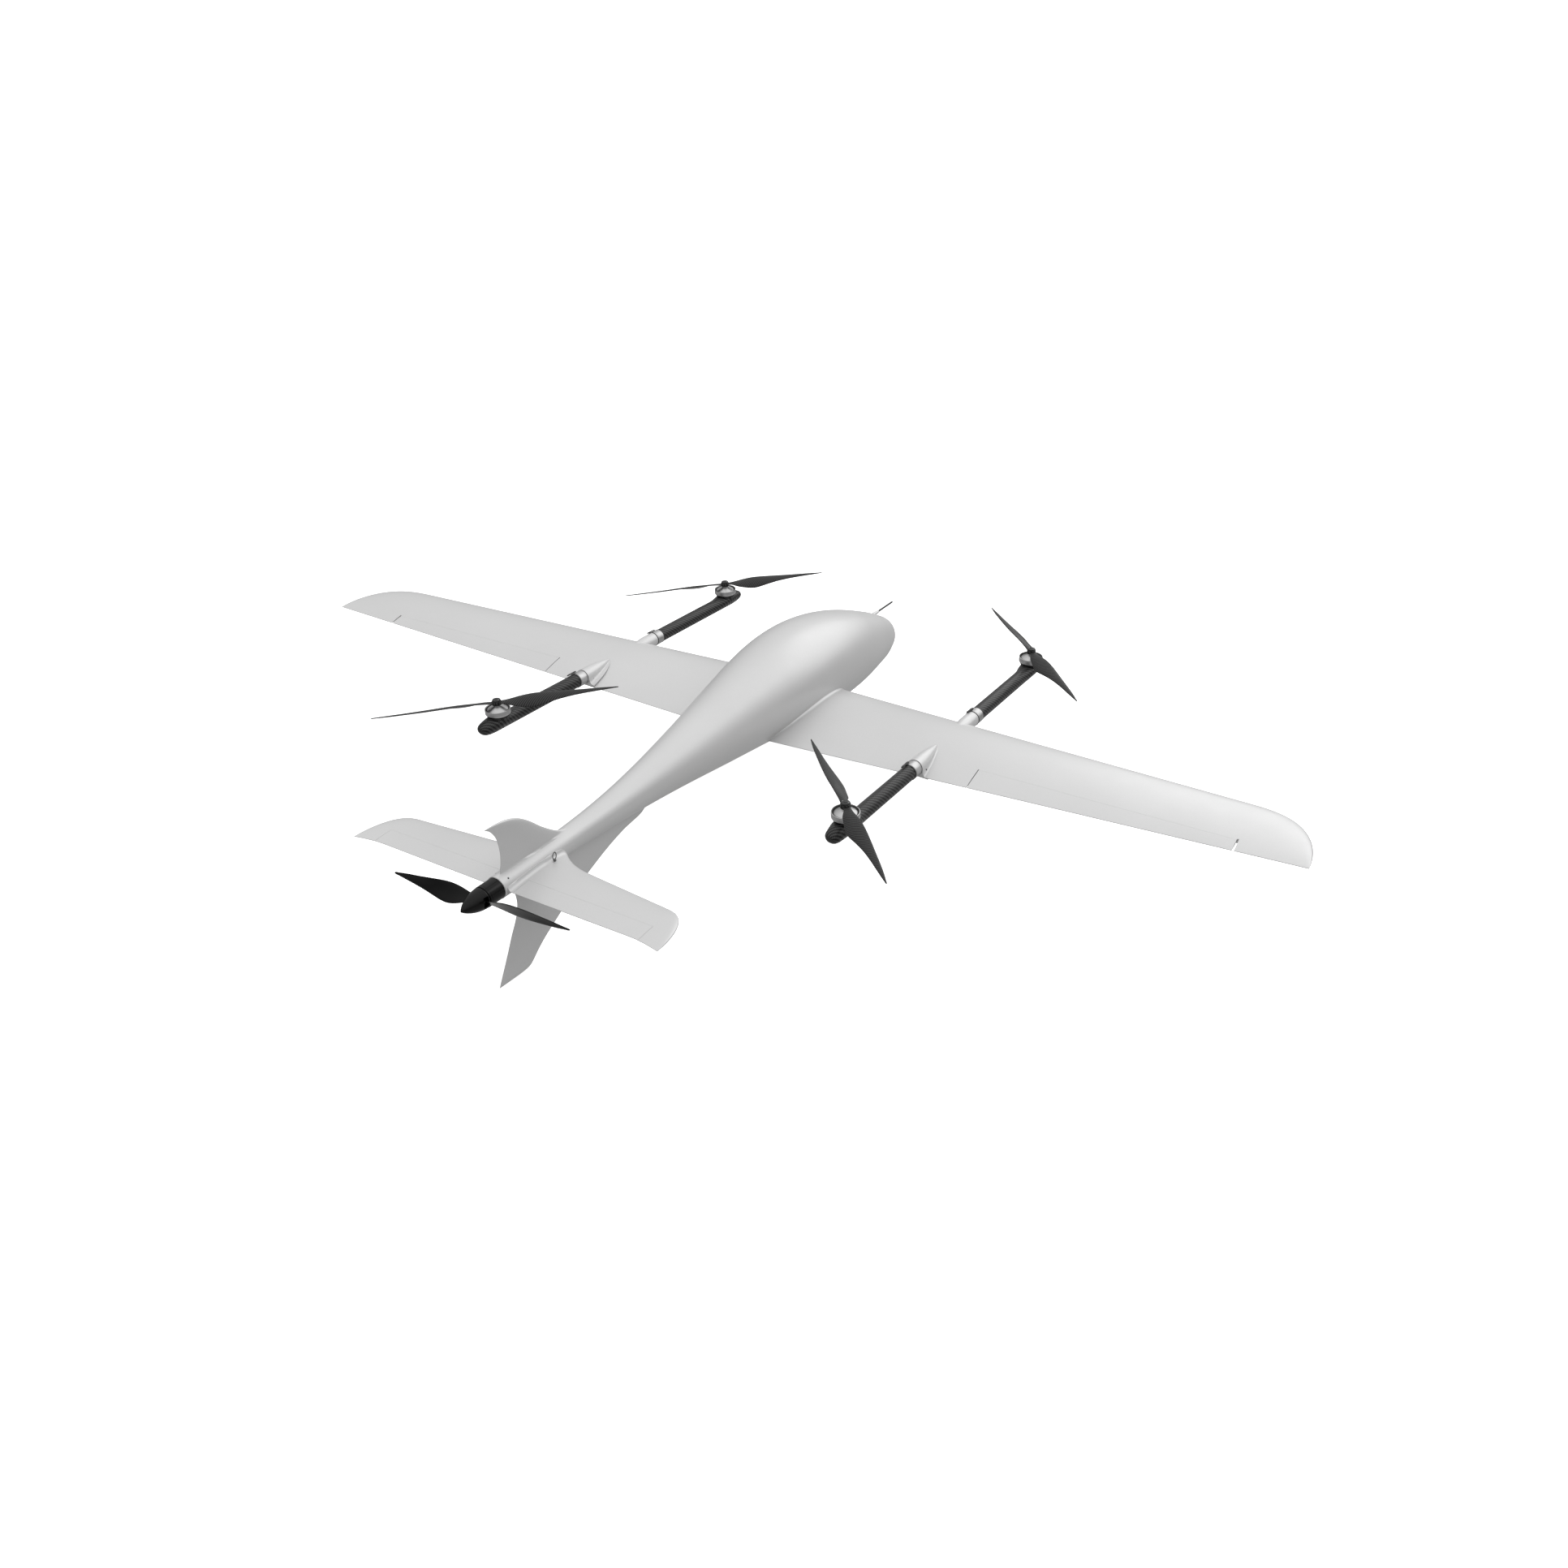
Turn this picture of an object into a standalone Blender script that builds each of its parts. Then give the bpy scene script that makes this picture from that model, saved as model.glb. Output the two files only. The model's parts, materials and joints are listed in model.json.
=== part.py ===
"""Fixed wing drone with vertical take-off: blended fuselage, straight tapered wing, four lift rotors on two
booms, a cruciform tail and a pusher propeller. Metres, +Z up, nose towards -Y, +X the aircraft's left side.

Design coordinates have their zero at the wing's trailing edge on the centre plane. place() moves them so that
the origin is under the middle of the object, on the surface that it stands on."""

import math

import bmesh
import bpy
import numpy as np
from mathutils import Matrix, Vector

for old in list(bpy.data.objects):
    bpy.data.objects.remove(old, do_unlink=True)

# ---------------------------------------------------------------- driving dimensions (design coordinates)
GROUND = -0.1885                          # the surface that the aircraft stands on
OFFSET = Vector((0.0, -0.0548, -GROUND))  # design coordinates to the part's frame
GAP = 0.0004                              # clearance between fixed neighbours

SPAN_HALF = 1.2505
ROOT_CHORD, TIP_CHORD = 0.288, 0.154
INCIDENCE = math.radians(5.0)
TE_SWEEP, DIHEDRAL = 0.0199, 0.0506       # of the trailing edge, per metre of span
FOIL_T, FOIL_M, FOIL_P = 0.125, 0.03, 0.4  # thickness, camber and the camber's place, in chords
TIP_START = 1.085
ROOT_FLARE_X = (0.112, 0.128)             # the root fairing is full at the first, gone at the second
ROOT_FLARE = (0.003, 0.006, 0.003)        # its reach forward, above and below
AIL_IN, AIL_OUT = 0.5635, {1: 1.0710, -1: 1.1135}   # aileron ends, left and right
AIL_C_IN, AIL_C_SLOPE = 0.0575, -0.051    # aileron chord at its inner end, and per metre of span
AIL_SLIT_IN, AIL_SLIT_OUT = 0.0020, 0.0040

# fuselage stations: y, radius, height of the centre
FUSELAGE = [(-0.655, 0.0450, 0.0232), (-0.620, 0.0601, 0.0273), (-0.560, 0.0766, 0.0366),
            (-0.470, 0.0962, 0.0496), (-0.360, 0.1114, 0.0630), (-0.250, 0.1163, 0.0705),
            (-0.120, 0.1096, 0.0690), (0.000, 0.0935, 0.0614), (0.120, 0.0757, 0.0520),
            (0.250, 0.0568, 0.0430), (0.400, 0.0390, 0.0335), (0.550, 0.0280, 0.0275),
            (0.660, 0.0245, 0.0252), (0.805, 0.0226, 0.0232)]
NOSE_Y, NOSE_END, TAIL_Y = -0.6866, -0.620, 0.805
NOSE_BLUNT, NOSE_REACH = 0.0435, 0.030    # shape of the nose's outline between its tip and its end
NOSE_TIP_Z = 0.0225
WALL = 0.0037
HATCH_FRONT, HATCH_REAR, HATCH_HALF = -0.565, -0.385, 0.050
SPAR_Y, SPAR_Z, SPAR_R, SPAR_HALF = -0.165, 0.0275, 0.0080, 0.205

BOOM_X, BOOM_Z, TUBE_R = 0.445, 0.0426, 0.0166
COLLAR_R, SPIGOT_R = 0.0177, 0.0138
LATCH_LEAN = math.radians(22)
SIDES = ((1, "left"), (-1, "right"))
# per boom end: which way it points, the collar's wing end and tube end, the rotor hub, the pod's toe, the
# latch's hinge
ENDS = {"front": dict(way=-1, ring=(-0.2690, -0.2928), hub=(-0.5966, 0.0897), toe=0.066, latch=-0.257),
        "rear": dict(way=1, ring=(0.0125, 0.0368), hub=(0.3061, 0.0907), toe=0.061, latch=0.028)}
LEAN = 0.0564                             # lift rotor axes lean aft
LIFT_R, LIFT_HUB_R, LIFT_HUB_H = 0.2721, 0.0105, 0.0096
MOTOR_R, MOTOR_SEAT = 0.0285, -0.0290      # the seat's height below the hub
PUSH_Y, PUSH_Z, PUSH_R, PUSH_HUB_R, PUSH_HUB_H = 0.8520, 0.0228, 0.2125, 0.0140, 0.0100
PUSH_TURN = -0.0537                       # rest position of the pusher's blades
TAIL_MOTOR_R, TAIL_MOTOR_L = 0.0216, 0.0372
SPIN_R, SPIN_TIP = 0.0212, 0.8982

STAB_Z, STAB_SPAN, STAB_TIP = 0.0206, 0.3655, 0.300
ELEV_Y, ELEV_IN, ELEV_OUT = 0.7560, 0.034, 0.318
HINGE_LIFT = 0.0042                       # elevator hinge above the tailplane's mid plane
PIN_X, PIN_Y = 0.0340, 0.6820

WHITE = ("composite_paint", (0.62, 0.62, 0.62), 0.42)
CARBON = ("carbon_weave", (0.03, 0.03, 0.03), 0.4)
BLACK = ("gloss_black", (0.012, 0.012, 0.012), 0.18)
SILVER = ("machined_silver", (0.62, 0.62, 0.62), 0.33, 1.0)
DARK = ("dark_polymer", (0.03, 0.03, 0.03), 0.5)
RUBBER = ("rubber_pad", (0.02, 0.02, 0.02), 0.8)


# ---------------------------------------------------------------- helpers
def spline(table, col, y):
    """Natural cubic through one column of a station table."""
    x = np.array([row[0] for row in table])
    v = np.array([row[col] for row in table])
    n = len(x)
    h = np.diff(x)
    a = np.eye(n)
    b = np.zeros(n)
    for i in range(1, n - 1):
        a[i, i - 1], a[i, i], a[i, i + 1] = h[i - 1], 2 * (h[i - 1] + h[i]), h[i]
        b[i] = 6 * ((v[i + 1] - v[i]) / h[i] - (v[i] - v[i - 1]) / h[i - 1])
    m = np.linalg.solve(a, b)
    i = int(np.clip(np.searchsorted(x, y) - 1, 0, n - 2))
    t = y - x[i]
    slope = (v[i + 1] - v[i]) / h[i] - h[i] * (2 * m[i] + m[i + 1]) / 6
    return v[i] + t * slope + t * t * m[i] / 2 + t ** 3 * (m[i + 1] - m[i]) / (6 * h[i])


def curve(points, n):
    """Resamples a chain of control points as a smooth Catmull-Rom curve, n steps per span."""
    p = [Vector(q) for q in points]
    p = [2 * p[0] - p[1]] + p + [2 * p[-1] - p[-2]]
    out = []
    for i in range(1, len(p) - 2):
        a, b, c, d = p[i - 1:i + 3]
        for k in range(n):
            t = k / n
            out.append(tuple(0.5 * (2 * b + (c - a) * t + (2 * a - 5 * b + 4 * c - d) * t * t
                                    + (3 * b - a - 3 * c + d) * t ** 3)))
    return out + [tuple(p[-2])]


def clamp(v, lo=0.0, hi=1.0):
    return min(max(v, lo), hi)


def place(p):
    return Vector(p) + OFFSET


def material(name, colour, rough, metal=0.0):
    mat = bpy.data.materials.get(name)
    if mat is None:
        mat = bpy.data.materials.new(name)
        mat.use_nodes = True
        bsdf = mat.node_tree.nodes["Principled BSDF"]
        bsdf.inputs["Base Color"].default_value = (*colour, 1)
        bsdf.inputs["Roughness"].default_value = rough
        bsdf.inputs["Metallic"].default_value = metal
    return mat


def finish(bm, name, mat=None, origin=(0, 0, 0)):
    """Turns a bmesh in design coordinates into an object whose origin is at `origin`; without a material it
    is a hidden helper."""
    bmesh.ops.remove_doubles(bm, verts=bm.verts, dist=1e-7)
    bmesh.ops.recalc_face_normals(bm, faces=bm.faces)
    if bm.calc_volume(signed=True) < 0:
        bmesh.ops.reverse_faces(bm, faces=bm.faces)
    bmesh.ops.translate(bm, vec=-Vector(origin), verts=bm.verts)
    mesh = bpy.data.meshes.new(name)
    bm.to_mesh(mesh)
    bm.free()
    mesh.shade_smooth()
    mesh.set_sharp_from_angle(angle=math.radians(35))
    obj = bpy.data.objects.new(name, mesh)
    bpy.context.scene.collection.objects.link(obj)
    obj.location = place(origin)
    if mat:
        mesh.materials.append(material(*mat))
    else:
        obj.hide_render = True
        obj.display_type = "WIRE"
    return obj


def loft(rings, start=None, end=None):
    """A closed skin over rings of equally many points. An end is a flat face, or runs to a given point."""
    bm = bmesh.new()
    rows = [[bm.verts.new(p) for p in ring] for ring in rings]
    n = len(rows[0])
    for a, b in zip(rows[:-1], rows[1:]):
        for i in range(n):
            j = (i + 1) % n
            bm.faces.new((a[i], a[j], b[j], b[i]))
    for row, point in ((rows[0], start), (rows[-1], end)):
        if point is None:
            bm.faces.new(row)
        else:
            tip = bm.verts.new(point)
            for i in range(n):
                bm.faces.new((row[i], row[(i + 1) % n], tip))
    return bm


def turned(profile, base, axis, segs=20):
    """A solid of revolution. profile is (radius, distance along the axis); a last radius of 0 is a point."""
    axis = Vector(axis).normalized()
    side = axis.orthogonal() if abs(axis.x) > 0.9 else Vector((1, 0, 0)) - axis * axis.x
    side.normalize()
    up = axis.cross(side)
    base = Vector(base)
    turn = [2 * math.pi * i / segs for i in range(segs)]
    end = base + axis * profile[-1][1] if profile[-1][0] == 0 else None
    rings = [[base + axis * h + side * (r * math.cos(a)) + up * (r * math.sin(a)) for a in turn]
             for r, h in profile if r > 0]
    return loft(rings, end=end)


def boxed(lo, hi, rounding=0.0, segs=2):
    bm = bmesh.new()
    bmesh.ops.create_cube(bm, size=1.0)
    bmesh.ops.scale(bm, vec=Vector(hi) - Vector(lo), verts=bm.verts)
    bmesh.ops.translate(bm, vec=(Vector(hi) + Vector(lo)) / 2, verts=bm.verts)
    if rounding:
        bmesh.ops.bevel(bm, geom=bm.edges[:], offset=rounding, segments=segs, profile=0.5, affect="EDGES")
    return bm


def cut(obj, cutter, how="DIFFERENCE"):
    mod = obj.modifiers.new("boolean_" + cutter.name, "BOOLEAN")
    mod.operation = how
    mod.solver = "EXACT"
    mod.object = cutter


def settle(obj):
    """Makes the evaluated shape the object's own mesh, cleaned of slivers."""
    bpy.context.view_layer.update()
    mesh = bpy.data.meshes.new_from_object(obj.evaluated_get(bpy.context.evaluated_depsgraph_get()))
    obj.modifiers.clear()
    obj.data = mesh
    bm = bmesh.new()
    bm.from_mesh(mesh)
    bmesh.ops.remove_doubles(bm, verts=bm.verts, dist=2e-6)
    bmesh.ops.dissolve_degenerate(bm, edges=bm.edges, dist=1e-6)
    bm.to_mesh(mesh)
    bm.free()
    mesh.shade_smooth()
    mesh.set_sharp_from_angle(angle=math.radians(35))


def basis(x_axis, z_axis):
    x, z = Vector(x_axis).normalized(), Vector(z_axis).normalized()
    return Matrix((x, z.cross(x), z)).transposed().to_4x4()


def thickness_at(s):
    """Half thickness of a four-digit section of unit thickness."""
    return 5 * (0.2969 * math.sqrt(s) - 0.1260 * s - 0.3516 * s ** 2 + 0.2843 * s ** 3 - 0.1036 * s ** 4)


def section_stops(n):
    """Fractions of the chord, close together at both edges."""
    return [(1 - math.cos(math.pi * k / (n - 1))) / 2 for k in range(n)]


# ---------------------------------------------------------------- fuselage
def nose_point(t):
    """(y, radius) along the nose's outline, a cubic from its tip at t = 0 to NOSE_END at t = 1."""
    end = float(spline(FUSELAGE, 1, NOSE_END))
    slope = float(spline(FUSELAGE, 1, NOSE_END + 1e-4) - end) / 1e-4
    handles = ((NOSE_Y, 0.0), (NOSE_Y, NOSE_BLUNT), (NOSE_END - NOSE_REACH, end - NOSE_REACH * slope),
               (NOSE_END, end))
    weights = ((1 - t) ** 3, 3 * t * (1 - t) ** 2, 3 * t * t * (1 - t), t ** 3)
    return tuple(sum(w * p[i] for w, p in zip(weights, handles)) for i in (0, 1))


def centre_height(y):
    """Height of the fuselage's centre line; ahead of the nose's end it levels off."""
    if y > NOSE_END:
        return float(spline(FUSELAGE, 2, y))
    u = (y - NOSE_Y) / (NOSE_END - NOSE_Y)
    return NOSE_TIP_Z + (float(spline(FUSELAGE, 2, NOSE_END)) - NOSE_TIP_Z) * u * u


def round_ring(y, r, segs=36):
    zc = centre_height(y)
    turn = [2 * math.pi * i / segs for i in range(segs)]
    return [(r * math.cos(a), y, zc + r * math.sin(a)) for a in turn]


def fus_ring(y, grow=0.0, segs=36):
    return round_ring(y, float(spline(FUSELAGE, 1, y)) + grow, segs)


def fuselage_loft(grow=0.0):
    nose = [nose_point(t) for t in (0.08, 0.22, 0.40, 0.60, 0.80)]
    body = [NOSE_END, -0.585, -0.54, -0.49, -0.44, -0.38, -0.32, -0.27, -0.23, -0.19, -0.14, -0.08, -0.02,
            0.05, 0.12, 0.20, 0.28, 0.36, 0.44, 0.52, 0.60, 0.70, TAIL_Y]
    rings = [round_ring(y, r + grow) for y, r in nose] + [fus_ring(y, grow) for y in body]
    return loft(rings, start=(0, NOSE_Y - grow, NOSE_TIP_Z))


def hatch_outline(shrink, z, r=0.012):
    y0, y1, w = HATCH_FRONT + shrink, HATCH_REAR - shrink, HATCH_HALF - shrink
    corners = ((w - r, y1 - r, 0), (-w + r, y1 - r, 90), (-w + r, y0 + r, 180), (w - r, y0 + r, 270))
    turn = [(cx, cy, math.radians(a0 + 30 * k)) for cx, cy, a0 in corners for k in range(4)]
    return [(cx + r * math.cos(a), cy + r * math.sin(a), z) for cx, cy, a in turn]


def make_fuselage():
    """Shell with its equipment bay, and the belly hatch that closes the bay from below."""
    shell = finish(fuselage_loft(), "fuselage_shell", WHITE)
    bay_stops = (-0.615, -0.57, -0.50, -0.40, -0.30, -0.2, -0.08, 0.05, 0.18, 0.30, 0.42)
    bay = finish(loft([fus_ring(y, -WALL, 20) for y in bay_stops]), "cut_bay")
    cut(shell, bay)
    cut(shell, finish(loft([hatch_outline(0.0, -0.12), hatch_outline(0.0, 0.035)]), "cut_hatch"))
    cut(shell, spar_cut)
    settle(shell)
    # the hatch hinges about its front edge
    stops = (-0.615, -0.585, -0.54, -0.49, -0.44, -0.38, -0.32)
    hinge = (0, HATCH_FRONT + 0.004, -0.0405)
    hatch = finish(loft([fus_ring(y) for y in stops]), "belly_hatch", WHITE, hinge)
    cut(hatch, bay)
    keep = finish(loft([hatch_outline(0.0006, -0.12), hatch_outline(0.0006, 0.020)]), "keep_hatch")
    cut(hatch, keep, "INTERSECT")
    settle(hatch)


def spar_solid(grow):
    profile = [(SPAR_R + grow, -SPAR_HALF - grow), (SPAR_R + grow, SPAR_HALF + grow)]
    return turned(profile, (0, SPAR_Y, SPAR_Z), (1, 0, 0), 16)


skin = finish(fuselage_loft(GAP), "cut_skin")      # trims everything that butts against the fuselage
spar_cut = finish(spar_solid(GAP), "cut_spar")
finish(spar_solid(0.0), "wing_spar_joiner", CARBON)
make_fuselage()


# ---------------------------------------------------------------- wings, ailerons, boom roots
def chord_at(x):
    c = ROOT_CHORD + (TIP_CHORD - ROOT_CHORD) * abs(x) / 1.25
    if abs(x) > TIP_START:
        u = clamp((abs(x) - TIP_START) / (SPAN_HALF - TIP_START))
        c *= math.sqrt(max(1 - u ** 3.2, 0.0))
    return c


def wing_point(x, s, top):
    """Point of the wing skin at span x; s runs 0 at the nose to 1 at the trailing edge."""
    c = chord_at(x)
    yt = FOIL_T * (1 - 0.25 * min(abs(x) / 1.25, 1)) * thickness_at(s) * c + 0.0007 * s
    if s < FOIL_P:
        yc = FOIL_M / FOIL_P ** 2 * (2 * FOIL_P * s - s * s)
    else:
        yc = FOIL_M / (1 - FOIL_P) ** 2 * ((1 - 2 * FOIL_P) + 2 * FOIL_P * s - s * s)
    full, gone = ROOT_FLARE_X
    flare = clamp((gone - abs(x)) / (gone - full)) ** 2
    forward, above, below = (flare * reach for reach in ROOT_FLARE)
    hump = math.sin(math.pi * s ** 0.7)
    v = yc * c + (yt + above * hump if top else -yt - below * hump)
    u = (s - 1) * c - forward * (1 - s) ** 2
    ca, sa = math.cos(INCIDENCE), math.sin(INCIDENCE)
    return (x, TE_SWEEP * abs(x) + u * ca + v * sa, DIHEDRAL * abs(x) - u * sa + v * ca)


def wing_ring(x, n=12):
    stops = section_stops(n)
    return [wing_point(x, s, True) for s in stops[::-1]] + [wing_point(x, s, False) for s in stops[1:]]


def hinge_point(x):
    """Top-skin point of the aileron hinge at span x."""
    back = AIL_C_IN + AIL_C_SLOPE * (abs(x) - AIL_IN)
    return Vector(wing_point(x, 1 - back / chord_at(x), True))


def aileron_block(name, side, x0, x1, front, slant):
    """A block behind the hinge line; its front face leans aft below the hinge by `slant` metres per metre."""
    ends = []
    for x in (side * x0, side * x1):
        h = hinge_point(x)
        y, aft, up, down = h.y + front, 0.09, h.z + 0.02, h.z - 0.03
        ends.append([(x, y, up), (x, y, h.z), (x, y + slant * 0.03, down), (x, aft, down), (x, aft, up)])
    return finish(loft(ends), name)


def saddle_rings(x0, grow):
    """The rear boom's fairing: round at the collar, sinking into the wing's top as it runs forward."""
    y0, y1 = ENDS["rear"]["ring"][0] - GAP, -0.0880
    turn = [2 * math.pi * i / 18 for i in range(18)]
    rings = []
    for k in range(8):
        f = k / 7
        r = 0.0178 * (1 - 0.89 * f ** 2.2) + grow
        y = y0 + (y1 - y0) * f + (grow if k == 0 else -grow if k == 7 else 0)
        rings.append([(x0 + r * math.cos(a), y, BOOM_Z + 0.0091 * f ** 1.5 + r * math.sin(a)) for a in turn])
    return rings


def stub_solid(x0, grow):
    """The front boom's root: a round spigot out of the leading edge."""
    y0, length = -0.150, -0.150 - ENDS["front"]["ring"][0] - GAP
    profile = [(0.0080, 0.0), (0.0098, 0.012), (0.0112, 0.030), (0.0134, 0.052), (0.0160, 0.070),
               (0.0172, 0.084), (0.0172, length + 5 * grow)]
    return turned([(r + grow, h) for r, h in profile], (x0, y0 + grow, BOOM_Z), (0, -1, 0), 18)


def make_servo(side, tag, wing):
    """A thin servo that lies in the wing's underside, ahead of the aileron."""
    x, half, depth = 0.800, 0.0145, 0.0095
    y1 = hinge_point(x).y - 0.012
    floor = wing_point(x, 0.62, False)[2]
    for name, grow, mat in (("cut_servo_" + tag, GAP, None), ("aileron_servo_" + tag, 0.0, DARK)):
        down = 0.010 if grow else 0.0
        lo = (side * x - half - grow, y1 - 0.030 - grow, floor + 0.0004 - down)
        hi = (side * x + half + grow, y1 + grow, floor + depth + grow)
        body = finish(boxed(lo, hi), name, mat)
        if grow:
            cut(wing, body)


def make_wing(side, tag):
    x_out = AIL_OUT[side]
    root = [0.055, 0.085, 0.105, 0.112, 0.117, 0.122, 0.128]
    tip = [TIP_START + (SPAN_HALF - TIP_START) * f for f in (0.25, 0.45, 0.62, 0.76, 0.87, 0.94, 0.98, 0.996)]
    stops = root + [0.24, 0.35, 0.45, AIL_IN, 0.70, 0.85, 1.0, TIP_START] + tip
    wing = finish(loft([wing_ring(side * x) for x in stops]), "wing_" + tag, WHITE)
    cut(wing, skin)
    cut(wing, spar_cut)
    cut(wing, aileron_block("cut_aileron_" + tag, side, AIL_IN, x_out, 0.0, 0.0))
    cut(wing, finish(loft(saddle_rings(side * BOOM_X, GAP)), "cut_fairing_" + tag))
    cut(wing, finish(stub_solid(side * BOOM_X, GAP), "cut_stub_" + tag))
    make_servo(side, tag, wing)
    settle(wing)
    finish(loft(saddle_rings(side * BOOM_X, 0.0)), "boom_fairing_rear_" + tag, WHITE)
    finish(stub_solid(side * BOOM_X, 0.0), "boom_stub_front_" + tag, WHITE)

    hinge_mid = (hinge_point(side * AIL_IN) + hinge_point(side * x_out)) / 2
    stops = (0.54, 0.65, 0.76, 0.87, 0.98, TIP_START, 1.135)
    aileron = finish(loft([wing_ring(side * x) for x in stops]), "aileron_" + tag, WHITE, hinge_mid)
    keep = aileron_block("keep_aileron_" + tag, side, AIL_IN + AIL_SLIT_IN, x_out - AIL_SLIT_OUT, GAP, 0.55)
    cut(aileron, keep, "INTERSECT")
    settle(aileron)


for side, tag in SIDES:
    make_wing(side, tag)


# ---------------------------------------------------------------- booms, collars, latches, lift motors
LIFT_AXIS = Vector((0, math.sin(LEAN), math.cos(LEAN)))
TUBE_LOW, TUBE_TOP = BOOM_Z - TUBE_R, BOOM_Z + TUBE_R
# pod stations: distance beyond the motor's axis, half width low down, half width at the top, bottom, top
POD = [(-0.085, TUBE_R, TUBE_R, TUBE_LOW, TUBE_TOP), (-0.068, 0.0166, 0.0167, TUBE_LOW, 0.0591),
       (-0.052, 0.0167, 0.0176, TUBE_LOW, 0.0590), (-0.040, 0.0169, 0.0196, TUBE_LOW, 0.0594),
       (-0.028, 0.0171, 0.0224, TUBE_LOW, 0.0605), (-0.012, 0.0173, 0.0247, TUBE_LOW, 0.0617),
       (0.006, 0.0174, 0.0253, TUBE_LOW, 0.0618), (0.020, 0.0171, 0.0238, TUBE_LOW, 0.0616),
       (0.030, 0.0165, 0.0214, TUBE_LOW + 0.0006, 0.0608)]
# the toe beyond them: fraction of the toe, half widths, bottom, top
TOE = [(0.35, 0.0160, 0.0190, TUBE_LOW + 0.0020, 0.0590), (0.68, 0.0142, 0.0160, TUBE_LOW + 0.0052, 0.0556),
       (0.90, 0.0092, 0.0100, TUBE_LOW + 0.0105, 0.0518)]
TOE_TIP_Z = 0.0450


def pod_section(x0, y, low, high, bottom, top, n=16):
    """Pear-shaped section: `low` wide along its lower half, swelling to `high` near the top."""
    out = []
    for i in range(n):
        a = 2 * math.pi * i / n
        s = clamp(0.5 + 0.62 * math.sin(a))
        w = low + (high - low) * s * s * (3 - 2 * s)
        out.append((x0 + w * math.cos(a), y, (bottom + top) / 2 + (top - bottom) / 2 * math.sin(a)))
    return out


def make_boom(tag, x0, end):
    """Carbon tube with the motor's pod at its end, in one moulding, bored for the collar's spigot."""
    way, hub = end["way"], Vector((x0, *end["hub"]))
    y0 = end["ring"][1] + way * GAP
    last = POD[-1][0]
    stations = POD + [(last + (end["toe"] - last) * f, *rest) for f, *rest in TOE]
    rings = [pod_section(x0, y0, TUBE_R, TUBE_R, TUBE_LOW, TUBE_TOP)]
    rings += [pod_section(x0, hub.y + way * d, *rest) for d, *rest in stations]
    boom = finish(loft(rings, end=(x0, hub.y + way * end["toe"], TOE_TIP_Z)), "boom_" + tag, CARBON)
    seat = MOTOR_SEAT
    cut(boom, finish(turned([(0.034, seat), (0.034, 0.0)], hub, LIFT_AXIS), "cut_seat_" + tag))
    seat_body = turned([(0.0205, seat - 0.017), (0.0256, seat)], hub, LIFT_AXIS)
    cut(boom, finish(seat_body, "join_seat_" + tag), "UNION")
    bore = turned([(SPIGOT_R + GAP, -0.010), (SPIGOT_R + GAP, 0.034)], (x0, y0, BOOM_Z), (0, way, 0), 16)
    cut(boom, finish(bore, "cut_bore_" + tag))
    settle(boom)


def make_collar(tag, x0, end):
    """Machined collar on the boom's root, with the spigot that the tube slides over."""
    way, (y0, y1) = end["way"], end["ring"]
    length = abs(y1 - y0)
    profile = [(0.0174, 0.0), (COLLAR_R, 0.0006), (COLLAR_R, length - 0.0006), (0.0174, length),
               (SPIGOT_R, length), (SPIGOT_R, length + 0.030)]
    finish(turned(profile, (x0, y0, BOOM_Z), (0, way, 0), 18), "boom_collar_" + tag, SILVER)


def make_latch(tag, x0, end):
    """A small lever on top of the joint, hinged at its wing end."""
    up = Vector((math.sin(LATCH_LEAN), 0, math.cos(LATCH_LEAN)))
    across = Vector((math.cos(LATCH_LEAN), 0, -math.sin(LATCH_LEAN)))
    base = Vector((x0, end["latch"], BOOM_Z))
    rings = []
    for d, lo, hi, w in ((0.0, 0.0190, 0.0210, 0.0024), (0.004, 0.0185, 0.0216, 0.0030),
                         (0.020, 0.0185, 0.0214, 0.0030), (0.029, 0.0185, 0.0204, 0.0024)):
        c = base + Vector((0, end["way"] * d, 0))
        rings.append([c + up * lo - across * w, c + up * lo + across * w,
                      c + up * hi + across * 0.7 * w, c + up * hi - across * 0.7 * w])
    finish(loft(rings), "boom_latch_" + tag, DARK, base + up * 0.0202)


def make_lift_motor(tag, x0, end):
    """Fixed base plate, the bell that turns over it, and the clamp that holds the propeller on top."""
    hub = Vector((x0, *end["hub"]))
    base = [(0.0238, -0.0286), (0.0240, -0.0258)]
    finish(turned(base, hub, LIFT_AXIS), "lift_motor_base_" + tag, DARK)
    bell = [(0.0250, -0.0254), (0.0280, -0.0252), (MOTOR_R, -0.0246), (MOTOR_R, -0.0133), (0.0282, -0.0130),
            (0.0268, -0.0130), (0.0260, -0.0160), (0.0232, -0.0156), (0.0150, -0.0110), (0.0074, -0.0068),
            (0.0074, -0.0052)]
    finish(turned(bell, hub, LIFT_AXIS, 24), "lift_motor_bell_" + tag, SILVER, hub)
    cap = [(0.0086, 0.0052), (0.0090, 0.0056), (0.0090, 0.0072), (0.0084, 0.0078), (0.0040, 0.0080),
           (0.0036, 0.0092)]
    finish(turned(cap, hub, LIFT_AXIS, 14), "lift_prop_clamp_" + tag, DARK, hub)


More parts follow.
